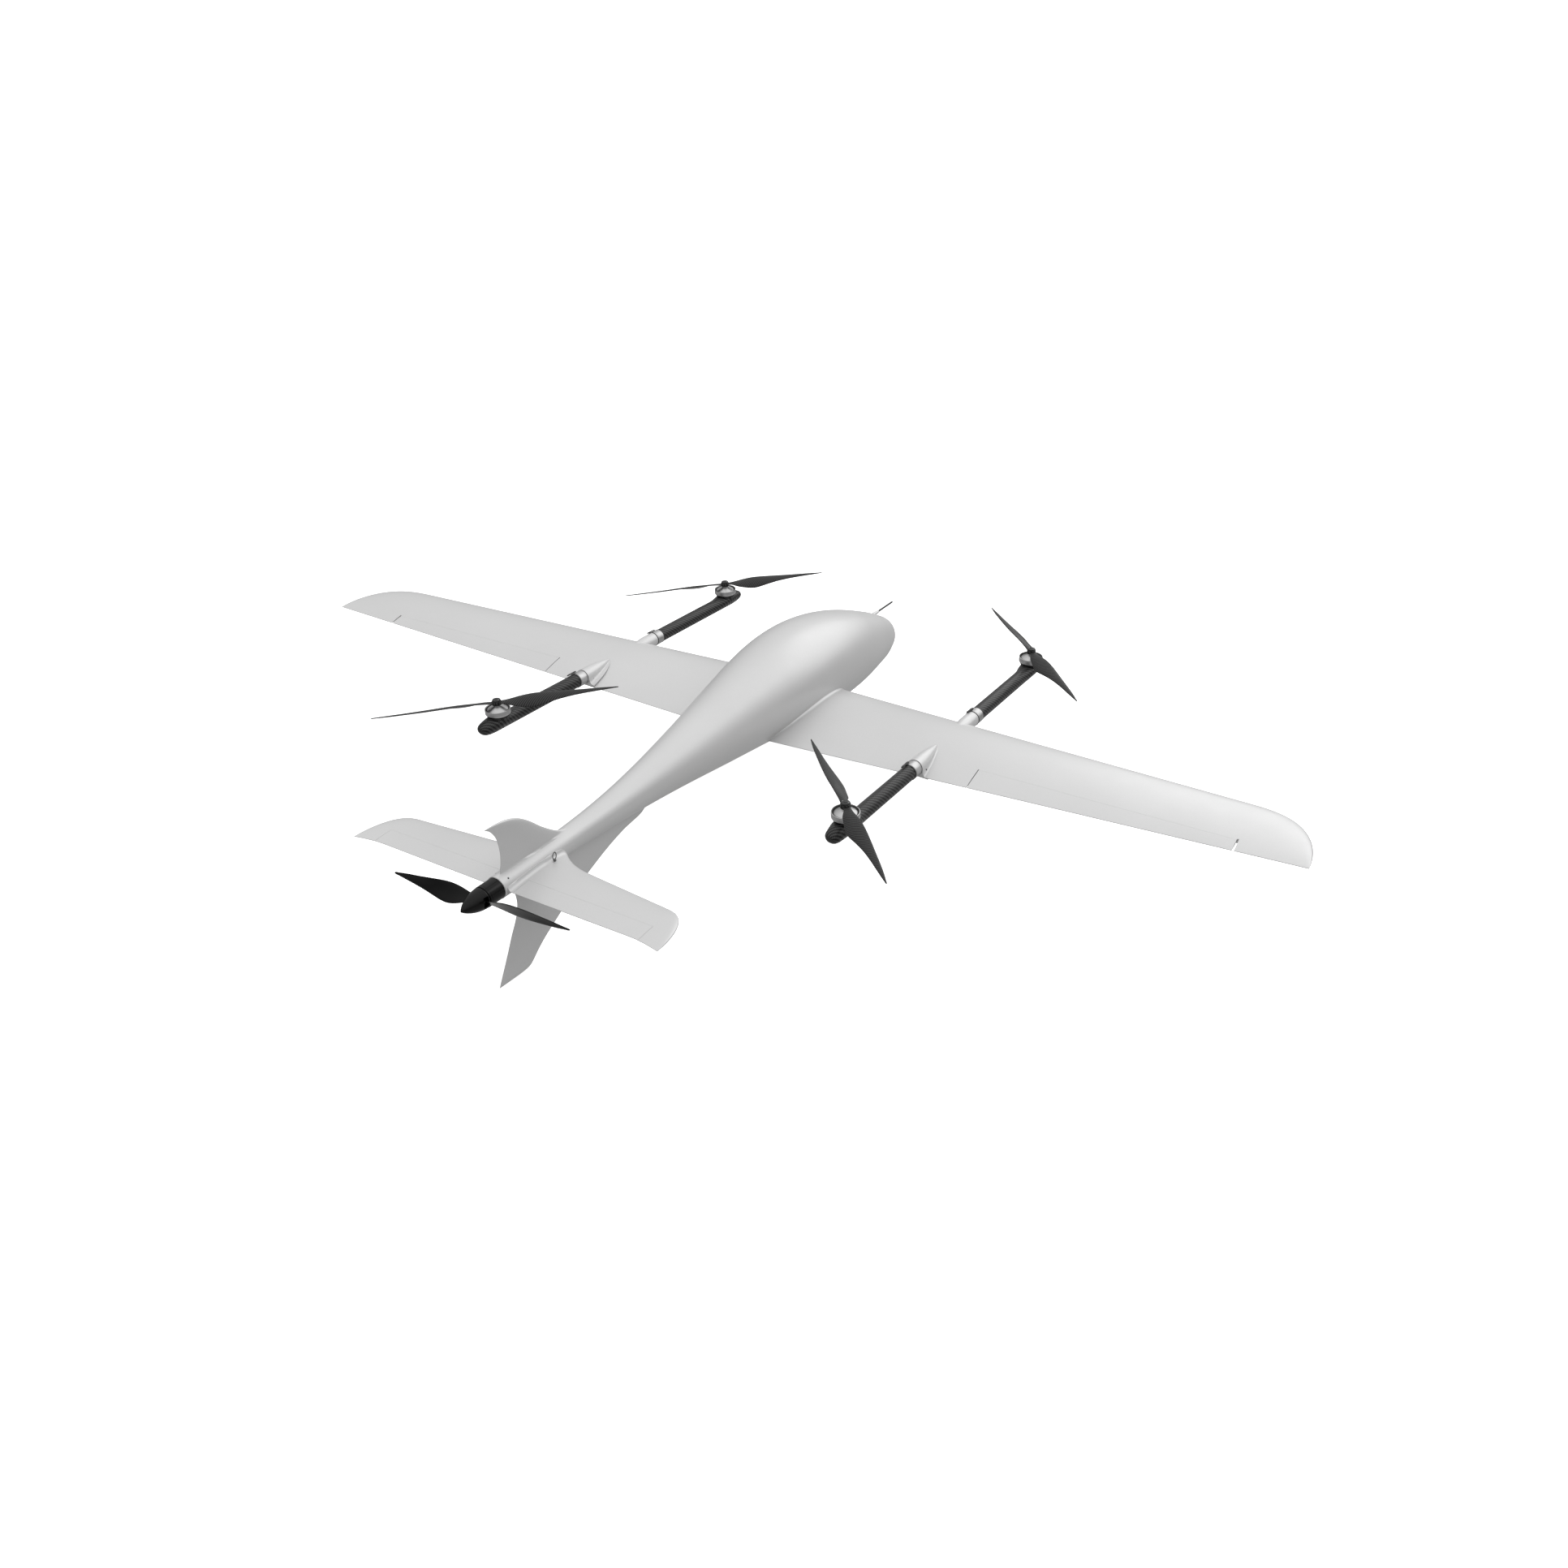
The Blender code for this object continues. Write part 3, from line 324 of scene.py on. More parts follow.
def piece(bm, name, slot, body="airframe", local=None, look=None, sharp=32, extra=False):
    """A finished piece that rides on a body. It stands for the CAD node of its name, unless it is an extra.
    local is the frame that its material follows, kept in each vertex as the attribute spot."""
    tidy(bm)
    label = name if extra else "fine_" + name
    mesh = bpy.data.meshes.new(label)
    bm.to_mesh(mesh)
    bm.free()
    back = (local or Matrix.Identity(4)).inverted()
    spots = mesh.attributes.new("spot", "FLOAT_VECTOR", "POINT")
    spots.data.foreach_set("vector", [c for v in mesh.vertices for c in back @ v.co])
    mesh.shade_smooth()
    mesh.set_sharp_from_angle(angle=radians(sharp))
    mesh.materials.append(LOOKS[look or slot])
    obj = add_object(label, mesh)
    obj.location = OFFSET
    if not extra:
        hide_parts(name)
    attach(obj, body)


def lathe(profile, base, axis, segs, name, slot, **settings):
    """A turned piece, whose material follows its axis."""
    piece(turned(profile, base, axis, segs), name, slot, local=about(axis, base), **settings)


def screw(name, base, axis, radius, head, body="airframe", slot="dark_polymer"):
    """Socket head, sunk into a slightly raised rim."""
    profile = [(radius, -0.0006), (radius, head * 0.6), (radius * 0.86, head), (radius * 0.5, head),
               (radius * 0.44, head * 0.2)]
    lathe(profile, base, axis, 24, name, slot, body=body, extra=True)


# ---- materials
class Net:
    """Short calls for building a node tree."""

    def __init__(self, tree):
        self.tree = tree

    def feed(self, socket, value):
        if isinstance(value, bpy.types.NodeSocket):
            self.tree.links.new(value, socket)
        else:
            socket.default_value = value

    def node(self, kind, inputs, **settings):
        made = self.tree.nodes.new("ShaderNode" + kind)
        for key, value in settings.items():
            setattr(made, key, value)
        for key, value in inputs.items():
            self.feed(made.inputs[key], value)
        return made

    def math(self, operation, *values):
        return self.node("Math", dict(enumerate(values)), operation=operation).outputs[0]

    def noise(self, vector, scale, detail=2.0):
        return self.node("TexNoise", {"Vector": vector, "Scale": scale, "Detail": detail}).outputs["Fac"]

    def spread(self, value, lo, hi, frm=0.3, to=0.7):
        """value, from frm to to, mapped to lo to hi."""
        inputs = {"Value": value, "From Min": frm, "From Max": to, "To Min": lo, "To Max": hi}
        return self.node("MapRange", inputs).outputs["Result"]

    def join(self, x, y, z):
        return self.node("CombineXYZ", {"X": x, "Y": y, "Z": z}).outputs["Vector"]

    def split(self, vector):
        return self.node("SeparateXYZ", {"Vector": vector}).outputs

    def bump(self, height, strength, distance, normal=None):
        inputs = {"Height": height, "Strength": strength, "Distance": distance}
        if normal:
            inputs["Normal"] = normal
        return self.node("Bump", inputs).outputs["Normal"]

    def surface(self, tone, rough, normal):
        """Feeds the Principled shader."""
        shader = self.tree.nodes["Principled BSDF"]
        for key, value in (("Base Color", tone), ("Roughness", rough), ("Normal", normal)):
            self.feed(shader.inputs[key], value)


def start_look(name, **fixed):
    """A material with constants on its Principled shader, a Net, and the piece's own coordinates."""
    mat = bpy.data.materials.new(name)
    mat.use_nodes = True
    shader = mat.node_tree.nodes["Principled BSDF"]
    for key, value in fixed.items():
        shader.inputs[key.replace("_", " ")].default_value = value
    net = Net(mat.node_tree)
    return mat, net, net.node("Attribute", {}, attribute_name="spot").outputs["Vector"]


def paint_look():
    """Satin light grey gelcoat: faint clouding, uneven gloss and orange peel."""
    mat, net, where = start_look("satin_paint", Metallic=0.25, Coat_Weight=0.10, Coat_Roughness=0.30)
    cloud = net.noise(where, 4.0, 3.0)
    speck = net.noise(where, 420.0)
    tone = net.math("ADD", net.spread(cloud, PAINT * 0.975, PAINT * 1.02), net.spread(speck, -0.008, 0.008))
    rough = net.spread(net.noise(where, 26.0, 4.0), 0.36, 0.41)
    peel = net.bump(net.noise(where, 260.0, 1.0), 0.05, 0.0006)
    net.surface(tone, rough, net.bump(net.noise(where, 5.0, 1.0), 0.05, 0.006, peel))
    return mat


def twill(net, across, along, tow):
    """Two-by-two twill: 1 where the lengthwise tow is on top, and the weave's height."""
    u, v = net.math("DIVIDE", across, tow), net.math("DIVIDE", along, tow)
    step = net.math("SUBTRACT", net.math("FLOOR", u), net.math("FLOOR", v))
    over = net.math("LESS_THAN", net.math("FLOORED_MODULO", step, 4.0), 1.5)
    ridge_u = net.math("ABSOLUTE", net.math("SINE", net.math("MULTIPLY", u, pi)))
    ridge_v = net.math("ABSOLUTE", net.math("SINE", net.math("MULTIPLY", v, pi)))
    under = net.math("SUBTRACT", 1.0, over)
    height = net.math("ADD", net.math("MULTIPLY", ridge_u, over), net.math("MULTIPLY", ridge_v, under))
    return over, height


def carbon_look(name, tow, radius=None):
    """Clear-coated carbon twill. With a radius it wraps round the local Y axis, without one it lies in XY."""
    mat, net, where = start_look(name, Coat_Weight=0.06, Coat_Roughness=0.12, Specular_IOR_Level=0.20)
    across, along, up = net.split(where)
    if radius:
        across = net.math("MULTIPLY", net.math("ARCTAN2", across, up), radius)
    over, height = twill(net, across, along, tow)
    fibre = net.noise(where, 900.0)
    tone = net.math("ADD", net.spread(over, CARBON_DARK, CARBON_LIGHT, 0.0, 1.0),
                    net.spread(fibre, -0.002, 0.002))
    rough = net.math("ADD", net.spread(over, 0.42, 0.30, 0.0, 1.0), net.spread(fibre, -0.03, 0.03))
    net.surface(tone, rough, net.bump(height, 0.25, 0.0002))
    return mat


def silver_look():
    """Turned aluminium: fine rings about the local Z axis."""
    mat, net, where = start_look("turned_silver", Metallic=1.0)
    x, y, z = net.split(where)
    radius = net.math("SQRT", net.math("ADD", net.math("MULTIPLY", x, x), net.math("MULTIPLY", y, y)))
    rings = net.noise(net.join(radius, 0.0, z), 1600.0, 3.0)
    rough = net.spread(net.noise(where, 90.0, 3.0), 0.36, 0.46)
    net.surface(net.spread(rings, 0.38, 0.50), rough, net.bump(rings, 0.22, 0.0001))
    return mat


def plain_look(name, tone, rough, grain, depth, **fixed):
    """Moulded or lacquered surface: tone and roughness wander a little, over a fine grain."""
    mat, net, where = start_look(name, **fixed)
    net.surface(net.spread(net.noise(where, 35.0, 3.0), tone * 0.8, tone * 1.25),
                net.spread(net.noise(where, 160.0), rough * 0.88, rough * 1.12),
                net.bump(net.noise(where, grain), 0.15, depth))
    return mat


PAINT, CARBON_DARK, CARBON_LIGHT = 0.56, 0.002, 0.040
TUBE_TOW = 2 * pi * TUBE_R / 40       # forty tows round the tube
LOOKS = {
    "composite_paint": paint_look(),
    "carbon_weave": carbon_look("carbon_flat", 0.0014),
    "carbon_tube": carbon_look("carbon_tube", TUBE_TOW, TUBE_R),
    "carbon_bow": carbon_look("carbon_bow", 0.0016, 0.115),
    "machined_silver": silver_look(),
    "gloss_black": plain_look("gloss_black_lacquer", 0.004, 0.18, 500.0, 0.00005, Coat_Weight=0.12,
                              Coat_Roughness=0.06, Specular_IOR_Level=0.12),
    "dark_polymer": plain_look("moulded_polymer", 0.016, 0.48, 1400.0, 0.0002),
    # painted shade: a darker, matt look for the ring in the motor bell's groove
    "recess_painted_shade": plain_look("recess_painted_shade", 0.010, 0.75, 900.0, 0.0002),
    "rubber_pad": plain_look("matt_rubber", 0.022, 0.80, 800.0, 0.0004),
    "battery_wrap": plain_look("battery_wrap", 0.020, 0.38, 300.0, 0.0003),
    "pin_steel": plain_look("pin_steel", 0.16, 0.34, 400.0, 0.0001, Metallic=1.0),
    "webbing": plain_look("strap_webbing", 0.035, 0.85, 1800.0, 0.0006),
}


# ---- fuselage
NOSE_SLOPE = (spline(FUSELAGE, 1, NOSE_END + 1e-4) - spline(FUSELAGE, 1, NOSE_END - 1e-4)) / 2e-4
NOSE_CURVE = ((NOSE_Y, 0.0), (NOSE_Y, NOSE_BLUNT),
              (NOSE_END - NOSE_REACH, spline(FUSELAGE, 1, NOSE_END) - NOSE_REACH * NOSE_SLOPE),
              (NOSE_END, spline(FUSELAGE, 1, NOSE_END)))


def nose_point(t):
    """(y, radius) along the nose's outline, from its tip at t = 0."""
    return bezier(NOSE_CURVE, t)


def centre_height(y):
    """Height of the fuselage's centre line; ahead of the nose's end it levels off."""
    if y > NOSE_END:
        return spline(FUSELAGE, 2, y)
    end = spline(FUSELAGE, 2, NOSE_END)
    u = (y - NOSE_Y) / (NOSE_END - NOSE_Y)
    return NOSE_TIP_Z + (end - NOSE_TIP_Z) * u * u


def round_ring(y, r, segs):
    zc = centre_height(y)
    return [(r * cos(a), y, zc + r * sin(a)) for a in around(segs)]


def fus_ring(y, grow=0.0, segs=FUS_SEGS):
    return round_ring(y, spline(FUSELAGE, 1, y) + grow, segs)


def fuselage_loft(grow=0.0, n=120):
    """The outside of the fuselage, or the same moved outwards by grow."""
    rings = [round_ring(y - grow * (1 - t), r + grow * t, FUS_SEGS)
             for t, (y, r) in ((k / 24, nose_point(k / 24)) for k in range(1, 24))]
    rings += [fus_ring(y, grow) for y in steps(NOSE_END, TAIL_Y, n)]
    return loft(rings, start=(0, NOSE_Y - grow, NOSE_TIP_Z))


def fuselage_core():
    """The fuselage just under its skin, which cuts off the roots that run into it."""
    return fuselage_loft(BURIED, 90)


def hatch_outline(shrink, z):
    """Rounded rectangle of the hatch at height z, drawn in by shrink."""
    y0, y1, w, r = HATCH_FRONT + shrink, HATCH_REAR - shrink, HATCH_HALF - shrink, HATCH_CORNER
    corners = ((w - r, y1 - r, 0), (-w + r, y1 - r, 90), (-w + r, y0 + r, 180), (w - r, y0 + r, 270))
    turn = [(cx, cy, radians(a0 + 10 * k)) for cx, cy, a0 in corners for k in range(10)]
    return [(cx + r * cos(a), cy + r * sin(a), z) for cx, cy, a in turn]


def make_fuselage():
    """Shell with its equipment bay, and the belly hatch that closes the bay from below."""
    bay = loft([fus_ring(y, -WALL, 64) for y in steps(BAY_FRONT, 0.42, 60)])
    opening = loft([hatch_outline(0.0, -0.12), hatch_outline(0.0, 0.035)])
    shell = carve(fuselage_loft(), bay, opening, spar_solid(GAP))
    piece(shell, "fuselage_shell", "composite_paint")
    keep = loft([hatch_outline(0.0006, -0.12), hatch_outline(0.0006, 0.020)])
    hatch = carve(loft([fus_ring(y) for y in steps(BAY_FRONT, -0.32, 40)]), bay)
    hatch = carve(hatch, keep, how="INTERSECT")
    piece(hatch, "belly_hatch", "composite_paint", "belly_hatch")
    latch = [(0.0062, -0.0010), (0.0062, 0.0003), (0.0056, 0.0006), (0.0030, 0.0006), (0.0028, 0.0001)]
    for x in (-0.028, 0.028):
        y = HATCH_REAR - 0.016
        r, zc = spline(FUSELAGE, 1, y), centre_height(y)
        out = Vector((x, 0, -sqrt(r * r - x * x))).normalized()
        base = Vector((0, y, zc)) + out * r
        name = "hatch_fastener_" + ("left" if x > 0 else "right")
        lathe(latch, base, out, 40, name, "machined_silver", body="belly_hatch", extra=True)


def spar_solid(grow):
    profile = [(SPAR_R + grow, -SPAR_HALF - grow), (SPAR_R + grow, SPAR_HALF + grow)]
    return turned(profile, (0, SPAR_Y, SPAR_Z), (1, 0, 0), 48)


def make_inside():
    """What the bay holds: the spar joiner, the battery, its straps, the tray and the flight controller."""
    wrap = Matrix.Translation((0, SPAR_Y, SPAR_Z)) @ Matrix.Rotation(radians(90), 4, "Z")
    piece(spar_solid(0.0), "wing_spar_joiner", "carbon_weave", local=wrap, look="carbon_tube")
    pack = boxed((-0.045, -0.545, -0.020), (0.045, -0.395, 0.040), 0.006, 6)
    piece(pack, "battery_pack", "dark_polymer", look="battery_wrap")
    for tag, y in (("front", -0.515), ("rear", -0.425)):
        strap = boxed((-0.0465, y - 0.010, -0.0215), (0.0465, y + 0.010, 0.0403), 0.0065, 6)
        inner = boxed((-0.0452, y - 0.020, -0.0202), (0.0452, y + 0.020, 0.0401), 0.006, 6)
        piece(carve(strap, inner), "battery_strap_" + tag, "dark_polymer", look="webbing", extra=True)
    tray = boxed((-0.055, -0.560, 0.0405), (0.055, -0.205, 0.0435), 0.0006, 2)
    piece(tray, "equipment_tray", "carbon_weave")
    box = boxed((-0.030, -0.300, 0.0140), (0.030, -0.215, 0.0400), 0.003, 4)
    for x in (-0.018, -0.006, 0.006, 0.018):
        box = carve(box, boxed((x - 0.0045, -0.310, 0.0220), (x + 0.0045, -0.294, 0.0320)))
    piece(box, "flight_controller", "dark_polymer")


# ---- wings, ailerons, boom roots
def chord_at(x):
    c = ROOT_CHORD + (TIP_CHORD - ROOT_CHORD) * abs(x) / TAPER_END
    if abs(x) > TIP_START:
        u = clamp((abs(x) - TIP_START) / (SPAN_HALF - TIP_START))
        c *= sqrt(max(1 - u ** 3.2, 0.0))
    return c


def wing_point(x, s, top):
    """Point of the wing skin at span x; s runs 0 at the nose to 1 at the trailing edge."""
    c = chord_at(x)
    yt = FOIL_T * (1 - 0.25 * min(abs(x) / TAPER_END, 1)) * thickness_at(s) * c + 0.0007 * s
    if s < FOIL_P:
        yc = FOIL_M / FOIL_P ** 2 * (2 * FOIL_P * s - s * s)
    else:
        yc = FOIL_M / (1 - FOIL_P) ** 2 * ((1 - 2 * FOIL_P) + 2 * FOIL_P * s - s * s)
    u, v = (s - 1) * c, yc * c + (yt if top else -yt)
    ca, sa = cos(INCIDENCE), sin(INCIDENCE)
    y, z = TE_SWEEP * abs(x) + u * ca + v * sa, DIHEDRAL * abs(x) - u * sa + v * ca
    if abs(x) < ROOT_END:
        away = hypot(x, z - centre_height(y)) - spline(FUSELAGE, 1, y)
        wide = 0.28 + 0.72 * min(1.0, 1.9 * (1 - s)) * min(1.0, 6 * s + 0.2)
        rise = fillet(away + 0.0004, ROOT_FILLET * wide)
        z += rise if top else -rise
    return (x, y, z)


def wing_ring(x):
    stops = section_stops(34)
    return [wing_point(x, s, True) for s in stops[::-1]] + [wing_point(x, s, False) for s in stops[1:]]


def wing_top(x, y):
    """Height of the wing's top skin under a point."""
    lo, hi = 0.30, 1.0
    for _ in range(30):
        s = (lo + hi) / 2
        if wing_point(x, s, True)[1] < y:
            lo = s
        else:
            hi = s
    return wing_point(x, (lo + hi) / 2, True)[2]


def hinge_point(x):
    """Top-skin point of the aileron hinge at span x."""
    back = AIL_C_IN + AIL_C_SLOPE * (abs(x) - AIL_IN)
    return Vector(wing_point(x, 1 - back / chord_at(x), True))


def aileron_block(side, x0, x1, front, slant):
    """A block behind the hinge line; its front face leans aft below the hinge by slant metres per metre."""
    ends = []
    for x in (side * x0, side * x1):
        h = hinge_point(x)
        y, aft, up, down = h.y + front, 0.09, h.z + 0.02, h.z - 0.03
        ends.append([(x, y, up), (x, y, h.z), (x, y + slant * 0.03, down), (x, aft, down), (x, aft, up)])
    return loft(ends)


def saddle(x0):
    """The rear boom's fairing: a round crest that sinks into the wing, and a flange that runs out on both
    sides to a thin edge on the wing's top skin."""
    y0, y1 = ENDS["rear"]["ring"][0] - GAP, FAIRING_FRONT

    def crest(f):
        return 0.0178 * (1 - 0.89 * f ** 2.2), BOOM_Z + 0.0091 * f ** 1.5

    rings = []
    for f in steps(0.0, 1.0, 28):
        (r, zc), y = crest(f), y0 + (y1 - y0) * f
        rings.append([(x0 + r * cos(a), y, zc + r * sin(a)) for a in around(64)])
    boss = loft(rings)
    rings = []
    edge = TE_SWEEP * BOOM_X - 0.0004
    for g in steps(0.0, 1.0, 30):
        y = edge + (y1 + 0.0005 - edge) * g
        f = (y - y0) / (y1 - y0)
        r, zc = crest(f)
        w = 0.0020 + 0.0285 * (1 - g ** 2.4) ** 0.8
        half = [(r * sin(a), zc + r * cos(a)) for a in steps(0.0, radians(92), 10)]
        sx, sz = half[-1]
        floor = wing_top(x0 + w, y) + 0.0010
        drop = max(sz - floor, 0.0)
        sweep = ((sx, sz), (sx - 0.03 * drop, sz - 0.85 * drop),
                 (sx + 0.30 * (w - sx), floor + 0.06 * drop), (w, floor))
        half += [bezier(sweep, t) for t in steps(0.0, 1.0, 12)[1:]]
        under = [(w - 0.0005, floor - 0.0022), (0.0, wing_top(x0, y) - 0.0012)]
        right = half + under
        left = [(-x, z) for x, z in (half[1:] + under[:1])]
        rings.append([(x0 + x, y, z) for x, z in right + left[::-1]])
    return carve(boss, loft(rings), how="UNION")


def stub_solid(x0):
    """The front boom's root: a round spigot out of the leading edge."""
    length = STUB_REAR - ENDS["front"]["ring"][0] - GAP
    profile = curve([(0.0080, 0.0), (0.0098, 0.012), (0.0112, 0.030), (0.0134, 0.052), (0.0160, 0.070),
                     (STUB_R, 0.084)], 5)
    profile += [(STUB_R, length - 0.0006), (STUB_R - 0.0005, length)]
    return turned(profile, (x0, STUB_REAR, BOOM_Z), (0, -1, 0))


def make_servo(side, tag):
    """A thin servo that lies in the wing's underside, ahead of the aileron; it returns the pocket."""
    x, half, length, depth = 0.800, 0.0145, 0.030, 0.0095
    y1 = hinge_point(x).y - 0.012
    floor = wing_point(x, 0.62, False)[2]
    sx = side * x
    case = boxed((sx - half, y1 - length, floor + GAP), (sx + half, y1, floor + depth), 0.0008, 3)
    piece(case, "aileron_servo_" + tag, "dark_polymer")
    shaft = [(0.0036, 0.0), (0.0036, 0.0003), (0.0032, 0.0005), (0.0012, 0.0005)]
    base = (sx + 0.006, y1 - 0.009, floor + GAP)
    lathe(shaft, base, DOWN, 32, "servo_boss_" + tag, "machined_silver", extra=True)
    lo = (sx - half - GAP, y1 - length - GAP, floor - 0.010)
    return boxed(lo, (sx + half + GAP, y1 + GAP, floor + depth + GAP))


def slit_end(side, x, reach, radius):
    """A small round well at the front end of an aileron slit."""
    h = hinge_point(x)
    return turned([(radius, -0.0030), (radius, 0.0060)], (side * x, h.y + reach, h.z), UP, 24)


def make_wing(side, tag):
    x_out = AIL_OUT[side]
    stops = steps(0.060, 0.070, 2) + steps(0.073, ROOT_END, 48) + steps(0.145, TIP_START, 52)
    stops += closing(TIP_START, SPAN_HALF, 30) + [SPAN_HALF - 2e-6]
    block = aileron_block(side, AIL_IN, x_out, 0.0, 0.0)
    wing = carve(loft([wing_ring(side * x) for x in stops]), fuselage_core(),
                 spar_solid(GAP), block,
                 slit_end(side, x_out - 0.0020, -0.0010, 0.0019),
                 slit_end(side, AIL_IN + 0.0010, -0.0006, 0.0012), make_servo(side, tag))
    piece(wing, "wing_" + tag, "composite_paint", sharp=40)
    piece(saddle(side * BOOM_X), "boom_fairing_rear_" + tag, "composite_paint")
    piece(stub_solid(side * BOOM_X), "boom_stub_front_" + tag, "composite_paint")
    keep = aileron_block(side, AIL_IN + AIL_SLIT_IN, x_out - AIL_SLIT_OUT, HAIRLINE, 0.55)
    aileron = carve(loft([wing_ring(side * x) for x in steps(0.54, 1.135, 40)]), keep, how="INTERSECT")
    piece(aileron, "aileron_" + tag, "composite_paint", "aileron_" + tag, sharp=40)
    for n, way in enumerate((-1, 1)):
        base = (side * BOOM_X + way * 0.0182, -0.0070, 0.0348)
        screw(f"fairing_screw_{tag}_{n}", base, (way * 0.967, 0, 0.255), 0.0018, 0.0005)


# ---- booms, collars, latches, lift motors
LIFT_AXIS = Vector((0, sin(LEAN), cos(LEAN)))
TUBE_LOW, TUBE_TOP = BOOM_Z - TUBE_R, BOOM_Z + TUBE_R
# distance aft or ahead of the hub, half width below and above, bottom, top
POD = [(-0.085, TUBE_R, TUBE_R, TUBE_LOW, TUBE_TOP), (-0.068, 0.0166, 0.0167, TUBE_LOW, 0.0591),
       (-0.052, 0.0167, 0.0176, TUBE_LOW, 0.0590), (-0.040, 0.0169, 0.0196, TUBE_LOW, 0.0594),
       (-0.028, 0.0171, 0.0224, TUBE_LOW, 0.0605), (-0.012, 0.0173, 0.0247, TUBE_LOW, 0.0617),
       (0.006, 0.0174, 0.0253, TUBE_LOW, 0.0618), (0.020, 0.0171, 0.0238, TUBE_LOW, 0.0616),
       (0.030, 0.0165, 0.0214, TUBE_LOW + 0.0006, 0.0608)]
# the same, with distances as fractions of the way from the pod's last section to the toe's tip
TOE = [(0.35, 0.0160, 0.0190, TUBE_LOW + 0.0020, 0.0590), (0.68, 0.0142, 0.0160, TUBE_LOW + 0.0052, 0.0556),
       (0.90, 0.0092, 0.0100, TUBE_LOW + 0.0105, 0.0518), (0.975, 0.0046, 0.0050, TUBE_LOW + 0.0150, 0.0486)]
TOE_TIP_Z = 0.0450


def pod_section(x0, y, low, high, bottom, top):
    """Pear-shaped section: low wide along its lower half, swelling to high near the top."""
    out = []
    for a in around(72):
        s = clamp(0.5 + 0.62 * sin(a))
        w = low + (high - low) * s * s * (3 - 2 * s)
        out.append((x0 + w * cos(a), y, (bottom + top) / 2 + (top - bottom) / 2 * sin(a)))
    return out


def make_boom(tag, x0, end):
    """Carbon tube with the motor's pod at its end, in one moulding, bored for the collar's spigot."""
    way, hub = end["way"], Vector((x0, *end["hub"]))
    y0 = end["ring"][1] + way * GAP
    last = POD[-1][0]
    stations = curve(POD + [(last + (end["toe"] - last) * f, *rest) for f, *rest in TOE], 6)
    start = hub.y + way * POD[0][0]
    rings = [pod_section(x0, y, TUBE_R, TUBE_R, TUBE_LOW, TUBE_TOP) for y in steps(y0, start, 10)[:-1]]
    rings += [pod_section(x0, hub.y + way * d, *rest) for d, *rest in stations]
    boom = loft(rings, end=(x0, hub.y + way * end["toe"], TOE_TIP_Z))
    boom = carve(boom, turned([(0.034, MOTOR_SEAT), (0.034, 0.0)], hub, LIFT_AXIS))
    seat = turned([(0.0200, MOTOR_SEAT - 0.019), (0.0222, MOTOR_SEAT - 0.011), (0.0240, MOTOR_SEAT - 0.004),
                   (0.0254, MOTOR_SEAT - 0.0008), (0.0250, MOTOR_SEAT)], hub, LIFT_AXIS, 96)
    boom = carve(boom, seat, how="UNION")
    bore = turned([(SPIGOT_R + GAP, -0.010), (SPIGOT_R + GAP, 0.034)], (x0, y0, BOOM_Z), (0, way, 0), 48)
    boom = carve(boom, bore)
    piece(boom, "boom_" + tag, "carbon_weave", local=Matrix.Translation((x0, hub.y, BOOM_Z)),
          look="carbon_tube")
    rim = [(TUBE_R + d, h) for d, h in ((0.0, 0.0), (0.0008, 0.0002), (0.0011, 0.0008), (0.0011, 0.0026),
                                        (0.0007, 0.0032), (0.0001, 0.0034))]
    lathe(rim, (x0, y0, BOOM_Z), (0, way, 0), 64, "boom_rim_" + tag, "dark_polymer", extra=True)


def make_collar(tag, x0, end):
    """Machined collar on the boom's root, with the spigot that the tube slides over."""
    way, (y0, y1) = end["way"], end["ring"]
    length = abs(y1 - y0)
    groove = COLLAR_R - 0.0004
    profile = [(groove, 0.0), (COLLAR_R, 0.0006), (COLLAR_R, 0.0034), (groove, 0.0038), (groove, 0.0050),
               (COLLAR_R, 0.0054), (COLLAR_R, length - 0.0006), (groove, length), (SPIGOT_R, length),
               (SPIGOT_R, length + 0.030)]
    base, aim = (x0, y0, BOOM_Z), (0, way, 0)
    lathe(profile, base, aim, 80, "boom_collar_" + tag, "machined_silver")
    seal = [(0.0168, -0.0012), (0.0180, -0.0010), (0.0181, 0.0002), (0.0180, 0.0010), (0.0168, 0.0012)]
    lathe(seal, base, aim, 64, "boom_seal_" + tag, "rubber_pad", extra=True)


def make_latch(tag, x0, end):
    """A small lever on top of the joint, hinged at its wing end."""
    up = Vector((sin(LATCH_LEAN), 0, cos(LATCH_LEAN)))
    across = Vector((cos(LATCH_LEAN), 0, -sin(LATCH_LEAN)))
    base = Vector((x0, end["latch"], BOOM_Z))
    table = curve([(0.0, 0.0192, 0.0208, 0.0020), (0.0012, 0.0186, 0.0215, 0.0028),
                   (0.006, 0.0185, 0.0216, 0.0030), (0.014, 0.0185, 0.0213, 0.0029),
                   (0.022, 0.0185, 0.0214, 0.0030), (0.0275, 0.0185, 0.0208, 0.0027),
                   (0.029, 0.0188, 0.0202, 0.0020)], 3)
    rings = []
    for d, lo, hi, w in table:
        c = base + Vector((0, end["way"] * d, 0)) + up * (lo + hi) / 2
        rings.append([c + across * w * blunt(cos(a), 0.6) + up * (hi - lo) / 2 * blunt(sin(a), 0.6)
                      for a in around(20)])
    piece(loft(rings), "boom_latch_" + tag, "dark_polymer", "latch_" + tag)


